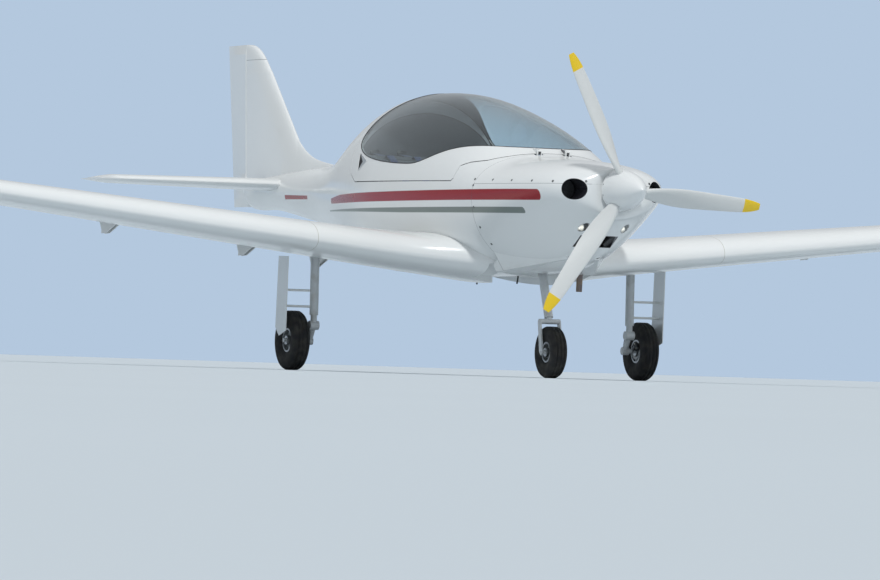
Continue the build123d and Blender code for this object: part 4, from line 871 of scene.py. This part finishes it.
# Cushions: middle of the underside, direction along, width, length, thickness and the channels' rows
CUSHIONS = {
    "base": ((2.222, -0.166), (0.430, -0.030), 0.404, 0.412, 0.050, (-0.28, 0.0, 0.28)),
    "back": ((2.686, 0.012), (0.434, 0.392), 0.398, 0.500, 0.046, (-0.30, -0.10, 0.10, 0.30)),
}
CHANNEL_LINES = (-0.27, 0.27)
CHANNEL_HALF = 0.0065
CHANNEL_DEPTH = 0.0075
STITCH_PITCH = 0.009
PIPING_RADIUS = 0.0028
VOXEL, QUICK_VOXEL = 0.0085, 0.012
CLOTH_PRESSURE = 4.0
CLOTH_FRAMES = 20
SWELL_CAP = 0.011
# Plates that hold the shoulder straps to the bulkhead
ANCHOR_OUTLINE = (
    (3.0995, 0.212), (3.0955, 0.216), (3.0885, 0.230), (3.0885, 0.242), (3.0955, 0.256), (3.0995, 0.260),
)
ANCHOR_HALF = 0.029
STRAP_END = (3.094, 0.235)
STRAP_THICKNESS = 0.0018
BUCKLE_V = 0.120
BUCKLE_PROFILE = (
    (0.0, 0.0), (0.034, 0.0), (0.036, 0.004), (0.033, 0.012), (0.018, 0.014), (0.016, 0.019), (0.0, 0.020),
)
# Dials on the panel: x, height rel and radius, as the CAD's recesses
DIALS = (
    (-0.330, 0.085, 0.040),
    (-0.230, 0.095, 0.040),
    (-0.230, 0.0, 0.040),
    (-0.330, -0.010, 0.040),
    (-0.110, 0.110, 0.028),
    (-0.110, 0.045, 0.028),
    (0.0, 0.110, 0.028),
    (0.0, 0.045, 0.028),
    (0.120, 0.090, 0.034),
)
DIAL_STATION = 1.5482


class Cushion:
    """A cushion's own axes: u across, v along and w out of the seat, from its underside's middle."""

    def __init__(self, middle_x, key):
        spot, along, self.width, self.length, self.thick, self.rows = CUSHIONS[key]
        self.origin = at(middle_x, *spot)
        self.u = ACROSS
        self.v = Vector((0, *along)).normalized()
        self.w = self.u.cross(self.v)

    def point(self, u, v, w):
        return self.origin + self.u * u + self.v * v + self.w * w

    def outline(self, inset=0.0, steps=64):
        """(u, v) corners of the cushion's rounded rectangle."""
        corners = []
        for i in range(steps):
            shares = (math.copysign(abs(c) ** 0.4, c) / 2 for c in polar(360 * i / steps))
            sides = (self.width - 2 * inset, self.length - 2 * inset)
            corners.append([share * side for share, side in zip(shares, sides)])
        return corners

    def channel(self, u, v):
        """How much of their depth the sewn channels have at a place."""
        offs = [u - line * self.width for line in CHANNEL_LINES]
        if abs(u) < CHANNEL_LINES[1] * self.width:
            offs += [v - row * self.length for row in self.rows]
        return max(math.exp(-((off / CHANNEL_HALF) ** 2)) for off in offs)

    def drop(self, tree, u, v):
        """Point and normal where a line square to the seat meets the cushion, or None twice."""
        return tree.ray_cast(self.point(u, v, 0.2), -self.w)[:2]

    def shape(self, name, material):
        """Padded shape, swollen by cloth pressure, with its sewn channels pressed in after."""
        layers = ((0.0, 0.022), (0.010, 0.006), (0.022, 0.0), (0.034, 0.006), (self.thick, 0.026))
        rows = [[self.point(u, v, lift) for u, v in self.outline(inset)] for lift, inset in layers]
        obj = mesh_object(name, grid_skin(rows, capped=True), material)
        remesh = obj.modifiers.new("Remesh", "REMESH")
        remesh.mode = "VOXEL"
        remesh.voxel_size = VOXEL
        obj = baked(obj)
        obj = swollen(obj)
        smooth = obj.modifiers.new("Smooth", "SUBSURF")
        smooth.levels = smooth.render_levels = 1
        obj = baked(obj)
        for vertex in obj.data.vertices:
            off = vertex.co - self.origin
            u, v, w = (off.dot(axis) for axis in (self.u, self.v, self.w))
            if w < 0.001:
                vertex.co += self.w * (0.001 - w)
            elif w > 0.6 * self.thick:
                share = min(1.0, (w - 0.6 * self.thick) / (0.3 * self.thick))
                vertex.co -= self.w * CHANNEL_DEPTH * share * self.channel(u, v)
        smoothed(obj.data, material)
        return obj

    def stitches(self, tree):
        """Where the stitches lie along the channels, as scatter takes them."""
        spots = []
        for line in CHANNEL_LINES:
            for i in range(int(self.length * 0.86 / STITCH_PITCH)):
                spots.append((line * self.width, -0.43 * self.length + i * STITCH_PITCH, self.v))
        for row in self.rows:
            for i in range(int(self.width * 0.52 / STITCH_PITCH)):
                spots.append((-0.26 * self.width + i * STITCH_PITCH, row * self.length, self.u))
        places = [(*self.drop(tree, u, v), along) for u, v, along in spots]
        return [place for place in places if place[0] is not None]

    def piping(self, name, tree, material):
        """The sewn cord round the cushion's edge."""
        points = []
        for u, v in self.outline(steps=72):
            out = self.u * u + self.v * v
            inward = -out.normalized()
            spot = tree.ray_cast(self.point(0, 0, 0.036) + out * 1.6, inward)[0]
            if spot is not None:
                points.append(spot - inward * 0.0008)
        return tube(name, points, PIPING_RADIUS, material, cyclic=True)

    def line_over(self, tree, spots, lift=0.0015):
        """Points and normals over the cushion along a line of (u, v) spots."""
        drops = [self.drop(tree, u, v)[0] for u, v, _ in smooth_line([(u, v, 0) for u, v in spots])]
        points = [spot for spot in drops if spot is not None]
        # The web bridges the channels, so each point is raised towards the highest of its neighbours
        heights = [(spot - self.origin).dot(self.w) for spot in points]
        for i, height in enumerate(heights):
            near = heights[max(0, i - 2) : i + 3]
            points[i] = points[i] + self.w * (sum(near) / len(near) / 2 + max(near) / 2 - height + lift)
        return points, [self.w] * len(points)


def swollen(obj):
    """Fills a closed cushion with cloth pressure, no point moving further than SWELL_CAP."""
    starts = [v.co.copy() for v in obj.data.vertices]
    cloth = obj.modifiers.new("Cloth", "CLOTH")
    cloth.settings.use_pressure = True
    cloth.settings.uniform_pressure_force = CLOTH_PRESSURE
    cloth.settings.effector_weights.gravity = 0.0
    cloth.settings.quality = 4
    scene = bpy.context.scene
    cloth.point_cache.frame_start, cloth.point_cache.frame_end = 1, CLOTH_FRAMES
    for number in range(1, CLOTH_FRAMES + 1):
        scene.frame_set(number)
    obj = baked(obj)
    for vertex, start in zip(obj.data.vertices, starts):
        move = vertex.co - start
        if move.length > SWELL_CAP:
            vertex.co = start + move.normalized() * SWELL_CAP
    scene.frame_set(1)
    return obj


def smooth_line(points, steps=10):
    """Points along a Catmull-Rom line through the given ones."""
    points = [Vector(p) for p in points]
    padded = [points[0] * 2 - points[1]] + points + [points[-1] * 2 - points[-2]]
    line = []
    for a, b, c, d in zip(padded, padded[1:], padded[2:], padded[3:]):
        for t in (i / steps for i in range(steps)):
            square, cube = 2 * a - 5 * b + 4 * c - d, 3 * b - a - 3 * c + d
            line.append(0.5 * (2 * b + (c - a) * t + square * t**2 + cube * t**3))
    return [*line, points[-1]]


def strap(name, points, normals, width, material):
    """A flat band of webbing along points, lying square to the normals there."""
    rows = []
    for i, (point, normal) in enumerate(zip(points, normals)):
        ahead = points[min(i + 1, len(points) - 1)] - points[max(i - 1, 0)]
        side = ahead.cross(normal).normalized() * width / 2
        lift = normal.normalized() * STRAP_THICKNESS
        low, high = point, point + lift
        middle, edge = (low + high) / 2, side * 0.96
        rows.append([middle - side, low - edge, low + edge, middle + side, high + edge, high - edge])
    return mesh_object(name, grid_skin(rows, capped=True), material)


def bar_shape(name, length, width):
    """A flat bar with a pointed end, along X: a dial's tick or needle."""
    half, foot, neck, tip = width / 2, -length / 2, length * 0.35, length / 2
    outline = ((foot, -half), (neck, -half), (tip, 0), (neck, half), (foot, half))
    rows = [[(*corner, lift) for corner in outline] for lift in (0.0, min(0.0004, width))]
    return template(name, grid_skin(rows, capped=True))


class AIRCRAFT_OT_cabin(bpy.types.Operator):
    """Padded seats with their harness, and the dials of the instrument panel."""

    bl_idname = "aircraft.cabin"
    bl_label = "Cabin"

    def execute(self, context):
        cloth = woven_cloth("seat_cloth", paint().cloth, 2.2)
        webbing = woven_cloth("harness_webbing", paint().webbing, 1.6, 0.2)
        piped = woven_cloth("piping_cord", "#2C2D30", 1.2, 0.1)
        thread = plain("seat_thread", "#8C8E92", 0.7)
        chrome = cast_metal("buckle_steel", "#B9BABB", 0.22, 1.67)
        lining = finish_named("moulded_lining")
        ends = ((-0.0030, 0.0002), (-0.0022, 0.0006), (0.0022, 0.0006), (0.0030, 0.0002))
        rows = [[(along, *polar(60 * i, radius)) for i in range(6)] for along, radius in ends]
        stitch = template("stitch", grid_skin(rows, capped=True))
        first = {key: Cushion(SEAT_MIDDLE, key).shape(f"cushion_{key}_left", cloth) for key in CUSHIONS}
        for side, name in SIDES:
            middle = side * SEAT_MIDDLE
            edges = (middle - PAN_HALF, middle + PAN_HALF)
            pan = extruded(f"seat_pan_{name}", PAN_OUTLINE, *edges, lining, 0.007)
            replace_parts(fit(pan), f"seat_{name}")
            seat = {}
            for key, piece in first.items():
                if name == "right":
                    mesh = piece.data.copy()
                    mesh.transform(Matrix.Translation((-2 * SEAT_MIDDLE, 0, 0)))
                    piece = link(bpy.data.objects.new(f"cushion_{key}_right", mesh))
                place = Cushion(middle, key)
                fit(piece)
                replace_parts(piece, f"seat_{name}")
                tree = BVHTree.FromObject(piece, bpy.context.evaluated_depsgraph_get())
                seat[key] = (place, tree)
                fit(place.piping(f"piping_{key}_{name}", tree, piped))
                scatter(f"stitches_{key}_{name}", stitch, place.stitches(tree), thread)
            self.harness(name, seat, webbing, chrome)
        self.dials()
        return {"FINISHED"}

    def harness(self, name, seat, webbing, chrome):
        """Two shoulder straps and two lap straps that meet at the buckle."""
        (back, back_tree), (base, base_tree) = seat["back"], seat["base"]
        up = Vector((0, 0, 1))
        foot = base.drop(base_tree, 0.0, BUCKLE_V)[0]
        straps = {}
        for turn, label in ((1, "a"), (-1, "b")):
            spots = ((0.030, -0.205), (0.055, -0.05), (0.085, 0.14), (0.088, 0.236))
            points, normals = back.line_over(back_tree, [(turn * u, v) for u, v in spots])
            # From the buckle the webbing rises across the gap between the two cushions
            clip = foot + base.w * 0.009 + back.v * 0.018 + back.u * turn * 0.014
            rise = clip.lerp(points[0], 0.55) + base.w * 0.006
            # Over the backrest's top it goes straight to its anchor
            top = points[-1]
            over = [top + back.v * 0.030 - back.w * 0.006, top + back.v * 0.046 - back.w * 0.034]
            end = at(top.x, *STRAP_END)
            points = [clip, rise, *points, *over, over[-1].lerp(end, 0.5), end]
            normals = [base.w * 2 + back.w, base.w + back.w, *normals]
            normals += [back.v + back.w * 2, back.v * 3 + up, up, up]
            straps[f"shoulder_strap_{label}_{name}"] = (points, normals)
            edges = (top.x - ANCHOR_HALF, top.x + ANCHOR_HALF)
            plate = f"harness_anchor_{label}_{name}"
            fit(extruded(plate, ANCHOR_OUTLINE, *edges, finish_named("satin_black"), 0.001, 1))
            spots = ((0.030, 0.01), (0.09, 0.03), (0.15, 0.06), (0.190, 0.082))
            straps[f"lap_strap_{label}_{name}"] = base.line_over(
                base_tree, [(turn * u, BUCKLE_V + v) for u, v in spots], 0.003
            )
        for key, (points, normals) in straps.items():
            fit(strap(key, points, normals, details().strap_width, webbing))
        buckle = turned(f"harness_buckle_{name}", BUCKLE_PROFILE, foot + base.w * 0.004, base.w, chrome)
        fit(buckle)

    def dials(self):
        """A face and a bezel in each recess, with ticks, a needle and four screws."""
        black = plain("dial_black", "#101113", 0.55)
        white = plain("dial_marks", "#E6E6E0", 0.6)
        bezel_paint = plain("bezel_black", "#1D1E20", 0.4)
        ticks, needles, screws = [], {}, []
        for index, (x, rel, radius) in enumerate(DIALS):
            centre = at(x, DIAL_STATION, rel)
            edge = radius - 0.0012
            flat = ((0.0, 0.0), (edge, 0.0), (edge, 0.001), (0.0, 0.001))
            fit(turned(f"dial_face_{index}", flat, centre, AFT, black, steps=40))
            inner, outer = radius - 0.003, radius + 0.006
            ring = ((inner, 0.0052), (outer, 0.0052), (radius + 0.005, 0.0085), (inner, 0.0078))
            fit(turned(f"dial_bezel_{index}", ring, centre, AFT, bezel_paint))
            # A tick each 15 degrees, apart from the foot of the scale
            for angle in (15 * mark for mark in range(24) if mark != 18):
                out = wheel_point(angle)
                ticks.append((centre + out * radius * 0.84 + AFT * 0.0012, AFT, out))
            out = wheel_point(60 + 47 * index)
            needle = (centre + out * radius * 0.22 + AFT * 0.0024, AFT, out)
            needles.setdefault(radius, []).append(needle)
            for angle in (45, 135, 225, 315):
                out = wheel_point(angle)
                screws.append((centre + out * (radius + 0.009) + AFT * 0.0048, AFT, out))
        scatter("dial_ticks", bar_shape("tick", 0.0055, 0.0009), ticks, white)
        shape = bar_shape("needle", 0.5, 0.035)
        for radius, places in sorted(needles.items()):
            scatter(f"dial_needles_{int(radius * 1000)}", shape, places, white, size=radius)
        scatter("panel_screws", screw_head(0.003, 0.0008), screws, finish_named("satin_black"))


# The skin's own small things, as (station, rel)
COWL_SCREWS = ((1.275, 0.057), (1.082, 0.053), (0.878, 0.049), (0.676, 0.046), (0.496, 0.043), (0.345, 0.045))
JOINT_SCREWS = ((1.262, 0.021), (1.243, -0.106), (1.231, -0.221), (1.219, -0.316))
SPINNER_SCREW_STATION = 0.288
# Corners of the vents beside the cabin, and of the painted shade over their aft part, where the recess is
# deep enough to lie in shadow
VENT_CORNERS = ((2.916, 0.123), (2.982, 0.234), (2.785, 0.179))
VENT_SHADE = ((2.918, 0.128), (2.979, 0.230), (2.872, 0.178))
# How far the vents' sheets stand off the skin, their own thickness and their rim's radius
RAMP_LIFT, SHADE_LIFT, SHEET_THICKNESS = 0.0007, 0.0012, 0.0015
VENT_RIM_RADIUS = 0.002
SEAL_SPACING = 0.012
CORE_STATION = 0.520
FIN_PITCH = 0.0046
LAMP_X, LAMP_REL = 0.129, -0.213
LENS_RADIUS, LENS_THICKNESS, LAMP_RING_RADIUS = 0.0244, 0.003, 0.0016
BOWL_PROFILE = (
    (0.0242, 0.0), (0.0226, 0.008), (0.0196, 0.017), (0.0150, 0.025), (0.0085, 0.031), (0.0, 0.033),
    (0.0, 0.0345), (0.0090, 0.0325), (0.0162, 0.026), (0.0208, 0.018), (0.0238, 0.009), (0.0250, 0.0),
)
BULB_PROFILE = (
    (0.0, 0.006), (0.004, 0.007), (0.0068, 0.012), (0.007, 0.016),
    (0.0045, 0.022), (0.0045, 0.031), (0.0, 0.031),
)


def outer_loop(node, sharp=20.0, shortest=2.0):
    """The closed line of sharp edges that runs furthest out round a sheet-like CAD node."""
    bm = bmesh.new()
    bm.from_mesh(NODES[node].data)
    bmesh.ops.remove_doubles(bm, verts=bm.verts, dist=2e-5)
    edges = [e for e in bm.edges if len(e.link_faces) == 2 and math.degrees(e.calc_face_angle(0.0)) > sharp]
    around = {}
    for edge in edges:
        for vert in edge.verts:
            around.setdefault(vert.index, []).append(edge)
    loops, used = [], set()
    for edge in edges:
        if edge.index in used:
            continue
        used.add(edge.index)
        start, here = edge.verts
        line = [start.co.copy(), here.co.copy()]
        while here != start:
            onward = next((e for e in around[here.index] if e.index not in used), None)
            if onward is None:
                break
            used.add(onward.index)
            here = onward.other_vert(here)
            line.append(here.co.copy())
        loops.append(line[:-1] if here == start else line)
    bm.free()

    def reach(line):
        return sum(math.hypot(p.x, p.z - HUB_Z) for p in line) / len(line)

    def length(line):
        return sum((a - b).length for a, b in zip(line, line[1:]))

    return max((line for line in loops if length(line) > shortest), key=reach)


def evened(line, spacing):
    """A closed line's points again, at even spacing."""
    closed = [*line, line[0]]
    lengths = [0.0]
    for a, b in zip(closed, closed[1:]):
        lengths.append(lengths[-1] + (b - a).length)
    count = int(lengths[-1] / spacing)
    points, k = [], 0
    for i in range(count):
        goal = lengths[-1] * i / count
        while lengths[k + 1] < goal:
            k += 1
        gap = lengths[k + 1] - lengths[k] or 1e-9
        points.append(closed[k].lerp(closed[k + 1], (goal - lengths[k]) / gap))
    return points


def patch(name, skin, side, corners, material, lift, steps=10):
    """A thin sheet that lies on the fuselage's side over a triangle of (station, rel) corners."""
    bm = bmesh.new()
    top, foot = {}, {}
    for i in range(steps + 1):
        for j in range(steps + 1 - i):
            shares = (1 - (i + j) / steps, i / steps, j / steps)
            spot = (sum(corner[k] * share for corner, share in zip(corners, shares)) for k in (0, 1))
            place, normal, _ = skin.from_side(side, *spot)
            top[i, j] = bm.verts.new(place + normal * lift)
            foot[i, j] = bm.verts.new(place + normal * (lift - SHEET_THICKNESS))
    for i in range(steps):
        for j in range(steps - i):
            for layer in (top, foot):
                bm.faces.new((layer[i, j], layer[i + 1, j], layer[i, j + 1]))
                if i + j < steps - 1:
                    bm.faces.new((layer[i + 1, j], layer[i + 1, j + 1], layer[i, j + 1]))
    rim = [(i, 0) for i in range(steps + 1)]
    rim += [(steps - k, k) for k in range(1, steps + 1)]
    rim += [(0, steps - k) for k in range(1, steps)]
    for a, b in zip(rim, rim[1:] + rim[:1]):
        bm.faces.new((top[a], top[b], foot[b], foot[a]))
    return mesh_object(name, bm, material)


class AIRCRAFT_OT_skin(bpy.types.Operator):
    """Canopy seal, cowling screws, vents with painted shade in them, intake coolers with painted shade behind
    them, and the landing lamps.
    """

    bl_idname = "aircraft.skin"
    bl_label = "Seal, screws, vents and lamps"

    def execute(self, context):
        self.seal()
        self.screws()
        self.vents()
        self.cores()
        self.lamps()
        return {"FINISHED"}

    def seal(self):
        rubber = plain("seal_rubber", "#26272A", 0.6)
        points = evened(outer_loop("canopy_glass"), SEAL_SPACING)
        # A short moving average takes the mesh's own corners out of the line
        count = len(points)
        for _ in range(2):
            points = [(points[i - 1] + points[i] * 2 + points[(i + 1) % count]) / 4 for i in range(count)]
        seal = tube("canopy_seal", points[::2], details().seal_radius, rubber, cyclic=True, sides=3)
        fit(seal, "canopy")

    def screws(self):
        """Quarter-turn screws along the cowling's joints, countersunk ones round the spinner."""
        steel = cast_metal("screw_steel", "#6F7172", 0.4, 1.43)
        skin = Skin("cowling_upper", "cowling_lower", "fuselage_shell")
        hits = [skin.from_side(side, *spot) for side, _ in SIDES for spot in (*COWL_SCREWS, *JOINT_SCREWS)]
        head = screw_head(details().screw_diameter / 2, details().screw_proud)
        scatter("cowling_screws", head, self.set_on(hits), steel)
        skin = Skin("spinner")
        outs = [wheel_point(15 + 30 * turn) for turn in range(12)]
        hits = [skin.hit(at(0, SPINNER_SCREW_STATION, 0) + out, -out) for out in outs]
        head = screw_head(0.004, 0.0006)
        scatter("spinner_screws", head, self.set_on(hits), steel, "propeller")

    def set_on(self, hits):
        return [(hit[0], hit[1], AFT) for hit in hits if hit]

    def vents(self):
        """A triangular vent ramp beside the cabin on each side, laid grey as painted shade for the half-lit
        recess, with a near-black sheet of painted shade over its deep aft part and a rim painted in gelcoat.
        """
        skin = Skin("fuselage_shell", "canopy_frame")
        # Painted shade: grey for the recessed ramp, near black for the shadow in its deep aft part
        ramp = plain("vent_ramp", "#AEB3B7", 0.5)
        painted_shade = plain("vent_dark", "#232427", 0.8)
        for side, name in SIDES:
            sheet = patch(f"cabin_vent_ramp_{name}", skin, side, VENT_CORNERS, ramp, RAMP_LIFT)
            fit(sheet)
            sheet = patch(f"cabin_vent_mouth_{name}", skin, side, VENT_SHADE, painted_shade, SHADE_LIFT)
            fit(sheet)
            rim = []
            for a, b in zip(VENT_CORNERS, VENT_CORNERS[1:] + VENT_CORNERS[:1]):
                for i in range(8):
                    spot = (a[k] + (b[k] - a[k]) * i / 8 for k in (0, 1))
                    place, normal, _ = skin.from_side(side, *spot)
                    rim.append(place + normal * 0.001)
            painted = finish_named("polished_gelcoat")
            rim = tube(f"cabin_vent_rim_{name}", rim, VENT_RIM_RADIUS, painted, cyclic=True)
            fit(rim)

    def cores(self):
        """The finned coolers that are seen inside the two round intakes, with a disc of painted shade behind
        them for the shadow deep in each intake.
        """
        fin_metal = cast_metal("cooler_fins", "#8A8C90", 0.5, 2.0)
        # Painted shade: a near-black disc behind the fins stands in for the shadow deep in each intake
        painted_shade = plain("cooler_shade", "#2A2B2E", 0.8)
        half, edge = 0.5, INTAKE_BORE - 0.0015
        section = ((-half, -0.0005), (half, -0.0005), (half, 0.0005), (-half, 0.0005))
        rows = [[(*corner, lift) for corner in section] for lift in (0.0, 0.012)]
        fin = template("cooler_fin", grid_skin(rows, capped=True))
        for side, name in SIDES:
            middle = at(side * INTAKE_MIDDLE, CORE_STATION, 0.0)
            flat = ((0.0, 0.0), (edge, 0.0), (edge, 0.004), (0.0, 0.004))
            fit(turned(f"intake_core_{name}", flat, middle, AFT, painted_shade))
            # Fins as long as the round bore is wide at their height
            by_size = {}
            for lift in (i * FIN_PITCH for i in range(-12, 13)):
                size = 2 * math.sqrt(max(0.0, (INTAKE_BORE - 0.003) ** 2 - lift**2))
                place = (middle + Vector((0, 0, lift)), AHEAD, ACROSS)
                by_size.setdefault(round(size, 4), []).append(place)
            to_middle = Matrix.Translation(middle)
            for number, (size, places) in enumerate(by_size.items()):
                piece = scatter(f"intake_fins_{name}_{number}", fin, places, fin_metal)
                piece.data.transform(to_middle @ Matrix.Diagonal((size, 1, 1, 1)) @ to_middle.inverted())

    def lamps(self):
        """Clear lenses flush with the chin, bright bowls behind them and their bulbs."""
        bright = cast_metal("vacuum_plated_bowl", "#F4F5F5", 0.3, 16.7, depth=0.02)
        chrome = cast_metal("lamp_ring", "#D8DADB", 0.16, 3.33, depth=0.03)
        frosted = plain(
            "bulb_glass", "#FBFAF4", 0.35, Emission_Color=linear("#FFFDF4"), Emission_Strength=1.2
        )
        skin = Skin("landing_lights")
        for side, name in SIDES:
            front = []
            for share in (1.0, 0.8, 0.55, 0.3, 0.1):
                points = [wheel_point(10 * i, LENS_RADIUS * share) for i in range(36)]
                starts = [at(side * LAMP_X, -1.0, LAMP_REL) + point for point in points]
                front.append([skin.hit(start, AFT)[0] for start in starts])
            back = [[point + AFT * LENS_THICKNESS for point in row] for row in reversed(front)]
            skin_of_lens = grid_skin([*back, *front], capped=True)
            lens = mesh_object(f"lamp_lens_{name}", skin_of_lens, finish_named("pressed_glass"))
            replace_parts(fit(lens), "landing_lights")
            rim = [point + AHEAD * 0.0004 for point in front[0]]
            fit(tube(f"lamp_ring_{name}", rim, LAMP_RING_RADIUS, chrome, cyclic=True))
            mouth = Vector((side * LAMP_X, max(point.y for point in front[0]) + 0.006, HUB_Z + LAMP_REL))
            fit(turned(f"lamp_bowl_{name}", BOWL_PROFILE, mouth, AFT, bright))
            fit(turned(f"lamp_bulb_{name}", BULB_PROFILE, mouth, AFT, frosted, steps=32))


# Stage
STAGE_REACH = 300.0
BACKDROP_HEIGHT = 22.0
# Lamps: name, where it stands, its size in degrees and which setting holds its strength
LAMPS = (
    ("key_lamp", (-0.30, -0.62, 1.0), 5.0, "key_strength"),
    ("fill_lamp", (0.9, -0.5, 0.5), 30.0, "fill_strength"),
    ("rear_lamp", (0.4, 1.0, 0.8), 30.0, "fill_strength"),
)
# The photograph's size, where the spinner's tip is in it, and its scale there, all in pixels
PHOTO_WIDTH, PHOTO_HEIGHT = 880, 580
TIP_COLUMN, TIP_ROW = 643, 190
PIXELS_PER_METRE = 177.0


class AIRCRAFT_OT_stage(bpy.types.Operator):
    """Pale floor and backdrop, soft lamps, and the camera at the photograph's angle."""

    bl_idname = "aircraft.stage"
    bl_label = "Stage"

    def execute(self, context):
        settings = context.scene.aircraft_stage
        self.ground()
        self.lamps(settings)
        self.camera(settings)
        context.scene.view_settings.view_transform = "Standard"
        return {"FINISHED"}

    def ground(self):
        floor = bmesh.new()
        corners = ((-1, -1), (1, -1), (1, 1), (-1, 1))
        floor.faces.new([floor.verts.new((x * STAGE_REACH, y * STAGE_REACH, 0)) for x, y in corners])
        ring = [polar(angle, STAGE_REACH) for angle in range(0, 360, 5)]
        backdrop = grid_skin([[(*spot, lift) for spot in ring] for lift in (-0.5, BACKDROP_HEIGHT)])
        for name, bm, colour in (("floor", floor, paint().floor), ("backdrop", backdrop, paint().backdrop)):
            finish = Finish(f"studio_{name}_finish", colour, 0.9)
            finish.mottle(2500, linear(colour, 0.93), 0.3, 0.7, 0.0, 0.15, detail=3.0)
            if name == "backdrop":
                # The camera and the glass see the backdrop's own colour whatever the lamps do
                rays = add(finish.tree, "LightPath")
                seen = rays["Is Camera Ray"].math("MAXIMUM", rays["Is Transmission Ray"])
                seen = seen.math("MAXIMUM", rays["Is Glossy Ray"])
                glow = add(finish.tree, "Emission", linear(colour), 1.0)
                finish.show(seen.add("MixShader", Field(finish.shader), glow))
            mesh_object(f"studio_{name}", bm, finish.material)

    def lamps(self, settings):
        world = bpy.data.worlds.new("studio")
        bpy.context.scene.world = world
        world.use_nodes = True
        background = world.node_tree.nodes["Background"]
        background.inputs["Color"].default_value = linear("#E4EBF2")
        background.inputs["Strength"].default_value = settings.sky_strength
        for name, towards, spread, strength in LAMPS:
            data = bpy.data.lights.new(name, "SUN")
            data.angle, data.energy = math.radians(spread), getattr(settings, strength)
            lamp = link(bpy.data.objects.new(name, data))
            lamp.location = Vector(towards) * 12
            lamp.rotation_euler = (-Vector(towards)).to_track_quat("-Z", "Y").to_euler()
            # Only the key lamp glints on the glass and the gelcoat, as the sun does
            lamp.visible_glossy = name == "key_lamp"

    def camera(self, settings):
        reach, turn, roll = settings.camera_distance, settings.camera_turn, settings.camera_roll
        focal = PIXELS_PER_METRE * reach
        tip_right, tip_up = (TIP_COLUMN - PHOTO_WIDTH / 2) / focal, (PHOTO_HEIGHT / 2 - TIP_ROW) / focal
        pitch = math.atan2(HUB_Z - settings.camera_height, reach) - math.atan(tip_up)
        ahead = Vector((math.sin(turn) * math.cos(pitch), math.cos(turn) * math.cos(pitch), math.sin(pitch)))
        level = ahead.cross(Vector((0, 0, 1))).normalized()
        upright = level.cross(ahead)
        right = level * math.cos(roll) + upright * math.sin(roll)
        up = upright * math.cos(roll) - level * math.sin(roll)
        ray = (ahead + right * tip_right + up * tip_up).normalized()
        data = bpy.data.cameras.new("photo_camera")
        data.sensor_width = 36.0
        data.lens = focal * data.sensor_width / PHOTO_WIDTH
        data.clip_end = 1000.0
        camera = link(bpy.data.objects.new("photo_camera", data))
        axes = Matrix((right, up, -ahead)).transposed().to_4x4()
        camera.matrix_world = Matrix.Translation(at(0, 0, 0) - ray * reach) @ axes
        bpy.context.scene.camera = camera


# Sidebar, registration and the run
OPERATORS = (
    AIRCRAFT_OT_finishes,
    AIRCRAFT_OT_wheels,
    AIRCRAFT_OT_cabin,
    AIRCRAFT_OT_skin,
    AIRCRAFT_OT_stage,
)
SETTINGS = {
    "aircraft_paint": AircraftPaintSettings,
    "aircraft_details": AircraftDetailSettings,
    "aircraft_stage": AircraftStageSettings,
}


class AIRCRAFT_PT_panel(bpy.types.Panel):
    """Lists the settings and the steps in the order that they are run."""

    bl_idname = "AIRCRAFT_PT_panel"
    bl_label = "Aircraft"
    bl_space_type = "VIEW_3D"
    bl_region_type = "UI"
    bl_category = "Aircraft"

    def draw(self, context):
        for key, group in SETTINGS.items():
            box = self.layout.box()
            for item in group.bl_rna.properties:
                if item.identifier in group.__annotations__:
                    box.prop(getattr(context.scene, key), item.identifier)
        for operator in OPERATORS:
            self.layout.operator(operator.bl_idname)


def register():
    for cls in (*SETTINGS.values(), *OPERATORS, AIRCRAFT_PT_panel):
        bpy.utils.register_class(cls)
    for key, group in SETTINGS.items():
        setattr(bpy.types.Scene, key, bpy.props.PointerProperty(type=group))


def unregister():
    for key in SETTINGS:
        delattr(bpy.types.Scene, key)
    for cls in reversed((*SETTINGS.values(), *OPERATORS, AIRCRAFT_PT_panel)):
        bpy.utils.unregister_class(cls)


def main():
    register()
    for operator in OPERATORS:
        group, name = operator.bl_idname.split(".")
        getattr(getattr(bpy.ops, group), name)()


if __name__ == "__main__":
    main()
